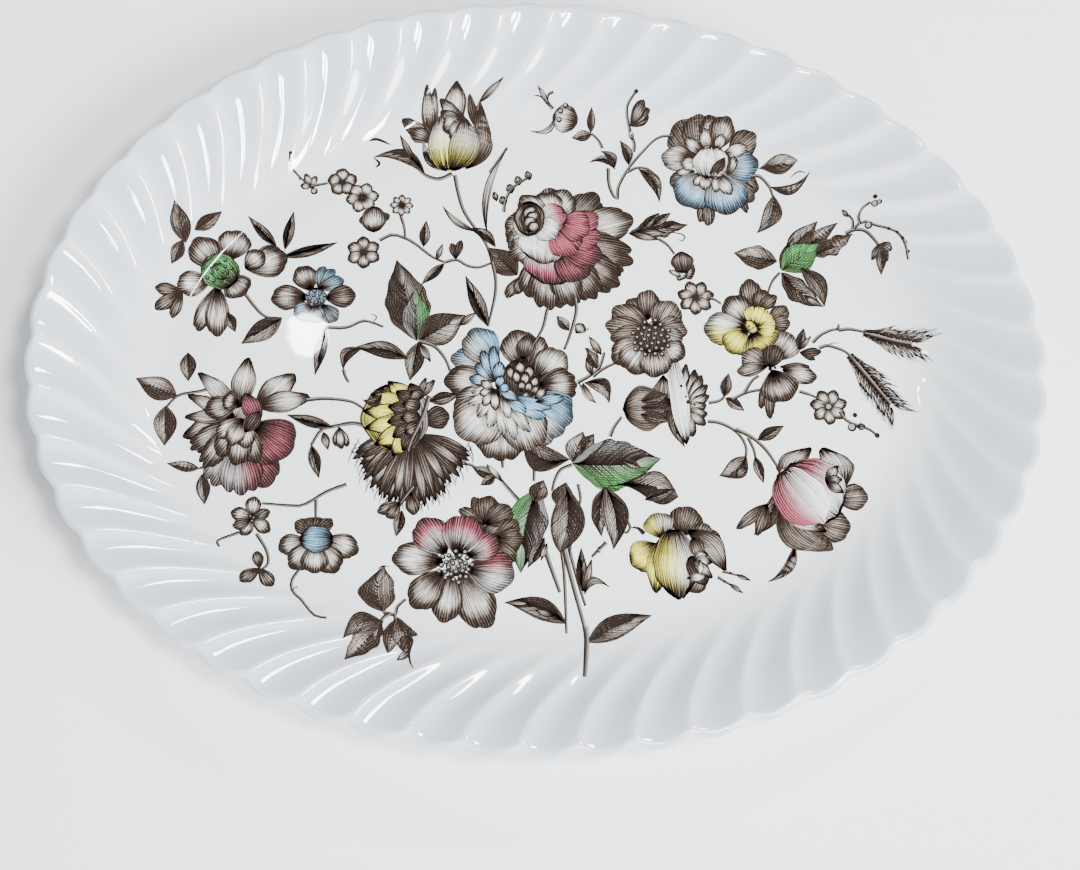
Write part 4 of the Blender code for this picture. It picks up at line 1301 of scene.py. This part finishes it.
p = new_plate(15)
leaf(p, 87.4, 47, 71.4, 49.8, 9.4, 0.25, 0.5, 0.4, waves=(3, 0.06))
leaf(p, 90.6, 50, 102.4, 63.4, 7.4, 0.35, 0.2, 0.6)
leaf(p, 97.6, 52, 108.6, 63.6, 5.4, 0.4, 0.2, 0.5, hook=-0.1)
leaf(p, 100.6, 49.6, 115.2, 58.2, 7, 0.6, 0.3, 0.3, waves=(3, 0.2))
leaf(p, 103, 51, 110, 53.6, 3.4, 0.6)
leaf(p, 88.6, 44, 93.6, 56.4, 4.4, 0.3)
leaf(p, 89, 43.4, 103, 54.6, 11.5, 0.2, 0.2, 0.4, wash="green all")
leaf(p, 96, 44.6, 104.6, 29.6, 7, 0.6, 0.2, 0.2, bow=0.14)
leaf(p, 89, 42.6, 104.2, 29.6, 8.6, 0.3, 0.4, 0.6, bow=-0.08, waves=(3, 0.1))
stem(p, [(88.5, 42.5), (86, 39.5), (84.5, 36), (83.8, 33)], 0.4)
stem(p, [(112.5, 58.5), (116, 59.6), (119.5, 58.8), (122.4, 56), (125, 52.6)], 0.8)
stem(p, [(115.5, 60), (117, 61.5), (119.5, 62.3), (124, 60.2), (127.6, 59), (130.6, 57), (133.6, 52.6),
         (134.7, 47)], 0.4)
for x, y in ((127.6, 58.7), (130.5, 57.1), (132.4, 54.7), (133.6, 53.1), (134.7, 50)):
    dot(p, x, y, 1.3)
ring(p, 120.6, 60.8, 2.4)
stem(p, [(115, 60), (115, 63), (113.4, 65)], 0.4)
leaf(p, 113.4, 64.4, 111.2, 67, 1.8, 0.7)
stem(p, [(117.6, 61.6), (117, 64), (118, 66.6), (121, 68.6)], 0.4)
dot(p, 122.6, 70.6, 1.8)
ring(p, 122.4, 68, 2.2)
ring(p, 124, 68.4, 1.6)
fan(p, 125.4, 54, [(122, 48, 3.4), (127.6, 47, 3), (129, 51, 3.6)], "dark", base=0.45, blunt=0.3)
leaf(p, 125.4, 53.6, 125.4, 42.4, 3.8, 0.5)
stem(p, [(100, 15.4), (103, 18.5), (107, 20.6), (109.6, 21)], 0.8)
stem(p, [(109.6, 20.6), (113.6, 21.2), (119.4, 20.3)], 0.9)
leaf(p, 109.4, 20.4, 109.8, 23, 1.2, 0.7)
stem(p, [(102.4, 13.4), (105, 14.5), (108, 14), (111.6, 12.6), (113.6, 11)], 0.8)
line(p, [(105, 14.4), (107.6, 15.6), (110, 15.4)], 0.4)
for root, tip, spread in (((118.6, 20), (138, 15.2), 4.8), ((113.4, 11), (129.6, -9.4), 4.4)):
    root, tip = np.array(root), np.array(tip)
    ahead = (tip - root) / np.hypot(*(tip - root))
    aside = np.array((-ahead[1], ahead[0]))
    stem(p, [tuple(root), tuple(root + 0.9 * (tip - root))], 1.6)
    for k in range(17):
        spine = root + (tip - root) * k / 17.0
        for side in (-1.0, 1.0):
            away = spread * min(1.0, 0.35 + k / 6.0) * p["chance"].uniform(0.8, 1.15)
            end = spine + ahead * 5.4 + aside * side * away
            leaf(p, *(spine + aside * side * 0.7), *end, 1.3, 0.1, 0.4, 0.1, edge=0.3)
            beard = end + ahead * p["chance"].uniform(1.4, 3.2) + aside * side * 1.3
            awn = [tuple(spine + aside * side * 1.4), tuple((spine + 3.0 * end) / 4.0), tuple(beard)]
            line(p, awn, 0.4, "end")
printed_spray("green_leaves", p)

# ---------------------------------------------------------------------------------------
# The crimson tulip at the right, opening away from its stalk. Printed in sepia under the
# glaze, its two big petals washed by hand with rose enamel.

p = new_plate(16)
leaf(p, 87, -36, 78.6, -57.6, 6.6, 0.4, 0.4, 0.4, bow=0.12, belly=0.62)
fan(p, 83.4, -46, [(72.4, -55.6, 5), (79.6, -57.8, 5)], "dark", base=0.5, blunt=0.5)
leaf(p, 92.8, -60, 84.2, -74.8, 3.6, 0.35, 0.3, 0.6, bow=0.16, hook=-0.06)
fan(p, 89, -40, [(99, -24.6, 9)], "brown", base=0.2, bow=0.14, blunt=0.2)
fan(p, 107, -43, [(119, -42, 10)], "dark", base=0.4)
fan(p, 100, -52, [(112.4, -54.6, 12)], "dark", base=0.4)
fan(p, 88, -44, [(106, -62.4, 13)], "dark", base=0.45, bow=-0.18, blunt=0.3)
fan(p, 109, -41, [(103, -24.4, 12)], "deep", bow=-0.16, blunt=0.3, waves=(3, 0.06), dark=(0.4, 0.5, 0.1, 0.9))
fan(p, 86.6, -41, [(104, -55.6, 8)], "white", bow=-0.1, blunt=0.1)
fan(p, 89, -33, [(108.4, -49.6, 27)], "white", "rose root", blunt=0.12, full=0.45, edge=0.4,
    dark=(0.25, 0.2, 0.2, 0.1), cuts=(10, 0.75, 10, 0.3), waves=(4, 0.03))
fan(p, 88.3, -33.4, [(103.5, -52.5, 19)], "white", "rose right", blunt=0.15, full=0.45, bow=-0.05, edge=0.0,
    dark=(0.3, 0.0, 0.0, 0.4), cuts=(8, 0.7, 0, 0.2))
fan(p, 104, -37, [(108.6, -31, 4), (110, -36, 4), (110.4, -41, 4)], "deep", blunt=0.3)
printed_spray("crimson_tulip", p)

# ---------------------------------------------------------------------------------------
# The yellow rose at the lower right, its heart dark and two stamens hanging out. Printed
# in sepia under the glaze, its left-hand petals washed by hand with yellow enamel.

p = new_plate(17)
fan(p, 53, -59, [(50.4, -50.4, 8), (56, -48, 12)], "dark", base=0.55)
fan(p, 58, -61, [(62.6, -54.4, 8), (67.6, -61, 10)], "dark", base=0.45)
fan(p, 46.6, -60, [(43.8, -50.8, 11)], "brown", "yellow left", base=0.2)
line(p, [(35, -56.3), (37.6, -56.4), (40, -58.4)], 1.8, "start")
stem(p, [(34, -54), (35, -56), (34, -58.2), (32.6, -58)], 0.3)
fan(p, 45, -62, [(36.4, -70.6, 14)], "pale", "yellow all", blunt=0.7)
fan(p, 45.6, -60, [(44.4, -79.6, 9)], "pale", "yellow all", blunt=0.4)
fan(p, 61, -71, [(56.8, -79, 7)], "brown")
fan(p, 55, -56.6, [(68.8, -70.6, 9)], "brown", base=0.3, blunt=0.2, bow=0.12)
fan(p, 50, -56, [(52.6, -81.6, 17)], "edged", "yellow right", blunt=0.35, full=0.5, edge=0.4, waves=(3, 0.05))
fan(p, 57, -59, [(60, -66.6, 6)], "brown", blunt=0.5)
fan(p, 56, -66, [(62, -76, 8)], "dark", blunt=0.2, full=0.5)
fan(p, 57, -67, [(62.4, -64.8, 4), (64, -68, 4), (64, -73.6, 4)], "edged", blunt=0.4)
fan(p, 59.6, -67, [(60, -73, 2.2)], "white", blunt=0.2)
fan(p, 55, -74, [(62, -73, 3)], "white", blunt=0.4)
for points in (((67.4, -71), (70, -71.5), (72.4, -72.2)), ((65.8, -73), (68, -74.4), (70.6, -75.8))):
    stem(p, points, 0.4)
dot(p, 70.4, -71.6, 1.2)
dot(p, 68.2, -74.6, 1.2)
leaf(p, 72.2, -72, 77.4, -74, 1.6, 0.7)
leaf(p, 70, -75.4, 74.6, -78.6, 1.8, 0.7)
printed_spray("yellow_rose", p)

# ---------------------------------------------------------------------------------------
# The floor, the lights and the camera. None of them is part of the platter.

FLOOR_REACH = 12.0
FLOOR_PALE = (0.97, 0.97, 0.97, 1.0)
SKY = (0.90, 0.95, 1.0, 1.0)
SKY_STRENGTH = 0.36
sheet = bmesh.new()
bmesh.ops.create_grid(sheet, x_segments=1, y_segments=1, size=FLOOR_REACH)
floor_mesh = bpy.data.meshes.new("floor")
sheet.to_mesh(floor_mesh)
sheet.free()
floor = bpy.data.objects.new("floor", floor_mesh)
bpy.context.scene.collection.objects.link(floor)
paper = bpy.data.materials.new("pale_floor")
paper.use_nodes = True
shader = paper.node_tree.nodes["Principled BSDF"]
shader.inputs["Base Color"].default_value = FLOOR_PALE
shader.inputs["Roughness"].default_value = 0.9
floor_mesh.materials.append(paper)

world = bpy.data.worlds.new("studio")
world.use_nodes = True
world.node_tree.nodes["Background"].inputs["Color"].default_value = SKY
world.node_tree.nodes["Background"].inputs["Strength"].default_value = SKY_STRENGTH
bpy.context.scene.world = world


def soft_box(name, place, aim, width, height, power):
    """A lamp with a flat face, width by height metres, turned to aim; its power is in watts."""
    light = bpy.data.lights.new(name, "AREA")
    light.shape = "RECTANGLE"
    light.size = width
    light.size_y = height
    light.energy = power
    made = bpy.data.objects.new(name, light)
    bpy.context.scene.collection.objects.link(made)
    made.location = place
    made.rotation_euler = (Vector(aim) - Vector(place)).to_track_quat("-Z", "Y").to_euler()
    return made


soft_box("key", (1.35, -1.20, 1.32), (0.0, 0.0, 0.0), 0.9, 0.8, 118.0)
soft_box("fill", (-0.8, -1.5, 1.5), (0.0, 0.0, 0.0), 1.0, 1.0, 16.0)
soft_box("window_right_pane", (0.28, -0.16, 0.85), (-0.11, 0.09, 0.0), 0.05, 0.15, 4.6)
soft_box("window_left_pane", (0.20, -0.20, 0.85), (-0.11, 0.09, 0.0), 0.05, 0.15, 4.6)
soft_box("window_back", (0.28, 0.55, 0.66), (-0.11, -0.08, 0.0), 0.08, 0.10, 3.8)
lamp = soft_box("lamp", (-0.19, 0.31, 0.80), (0.0, 0.0, 0.0), 0.032, 0.032, 0.3)
lamp.data.shape = "DISK"

CAMERA_PLACE = Vector((0.0022, -0.2269, 0.6446))
CAMERA_TILT = 0.3096
CAMERA_ROLL = 0.0335
CAMERA_LENS = 62.37
CAMERA_SENSOR = 36.0
camera_data = bpy.data.cameras.new("camera")
camera_data.lens = CAMERA_LENS
camera_data.sensor_width = CAMERA_SENSOR
camera = bpy.data.objects.new("camera", camera_data)
bpy.context.scene.collection.objects.link(camera)
turned = Matrix.Rotation(CAMERA_TILT, 4, "X") @ Matrix.Rotation(CAMERA_ROLL, 4, "Z")
camera.matrix_world = Matrix.Translation(CAMERA_PLACE) @ turned
bpy.context.scene.camera = camera
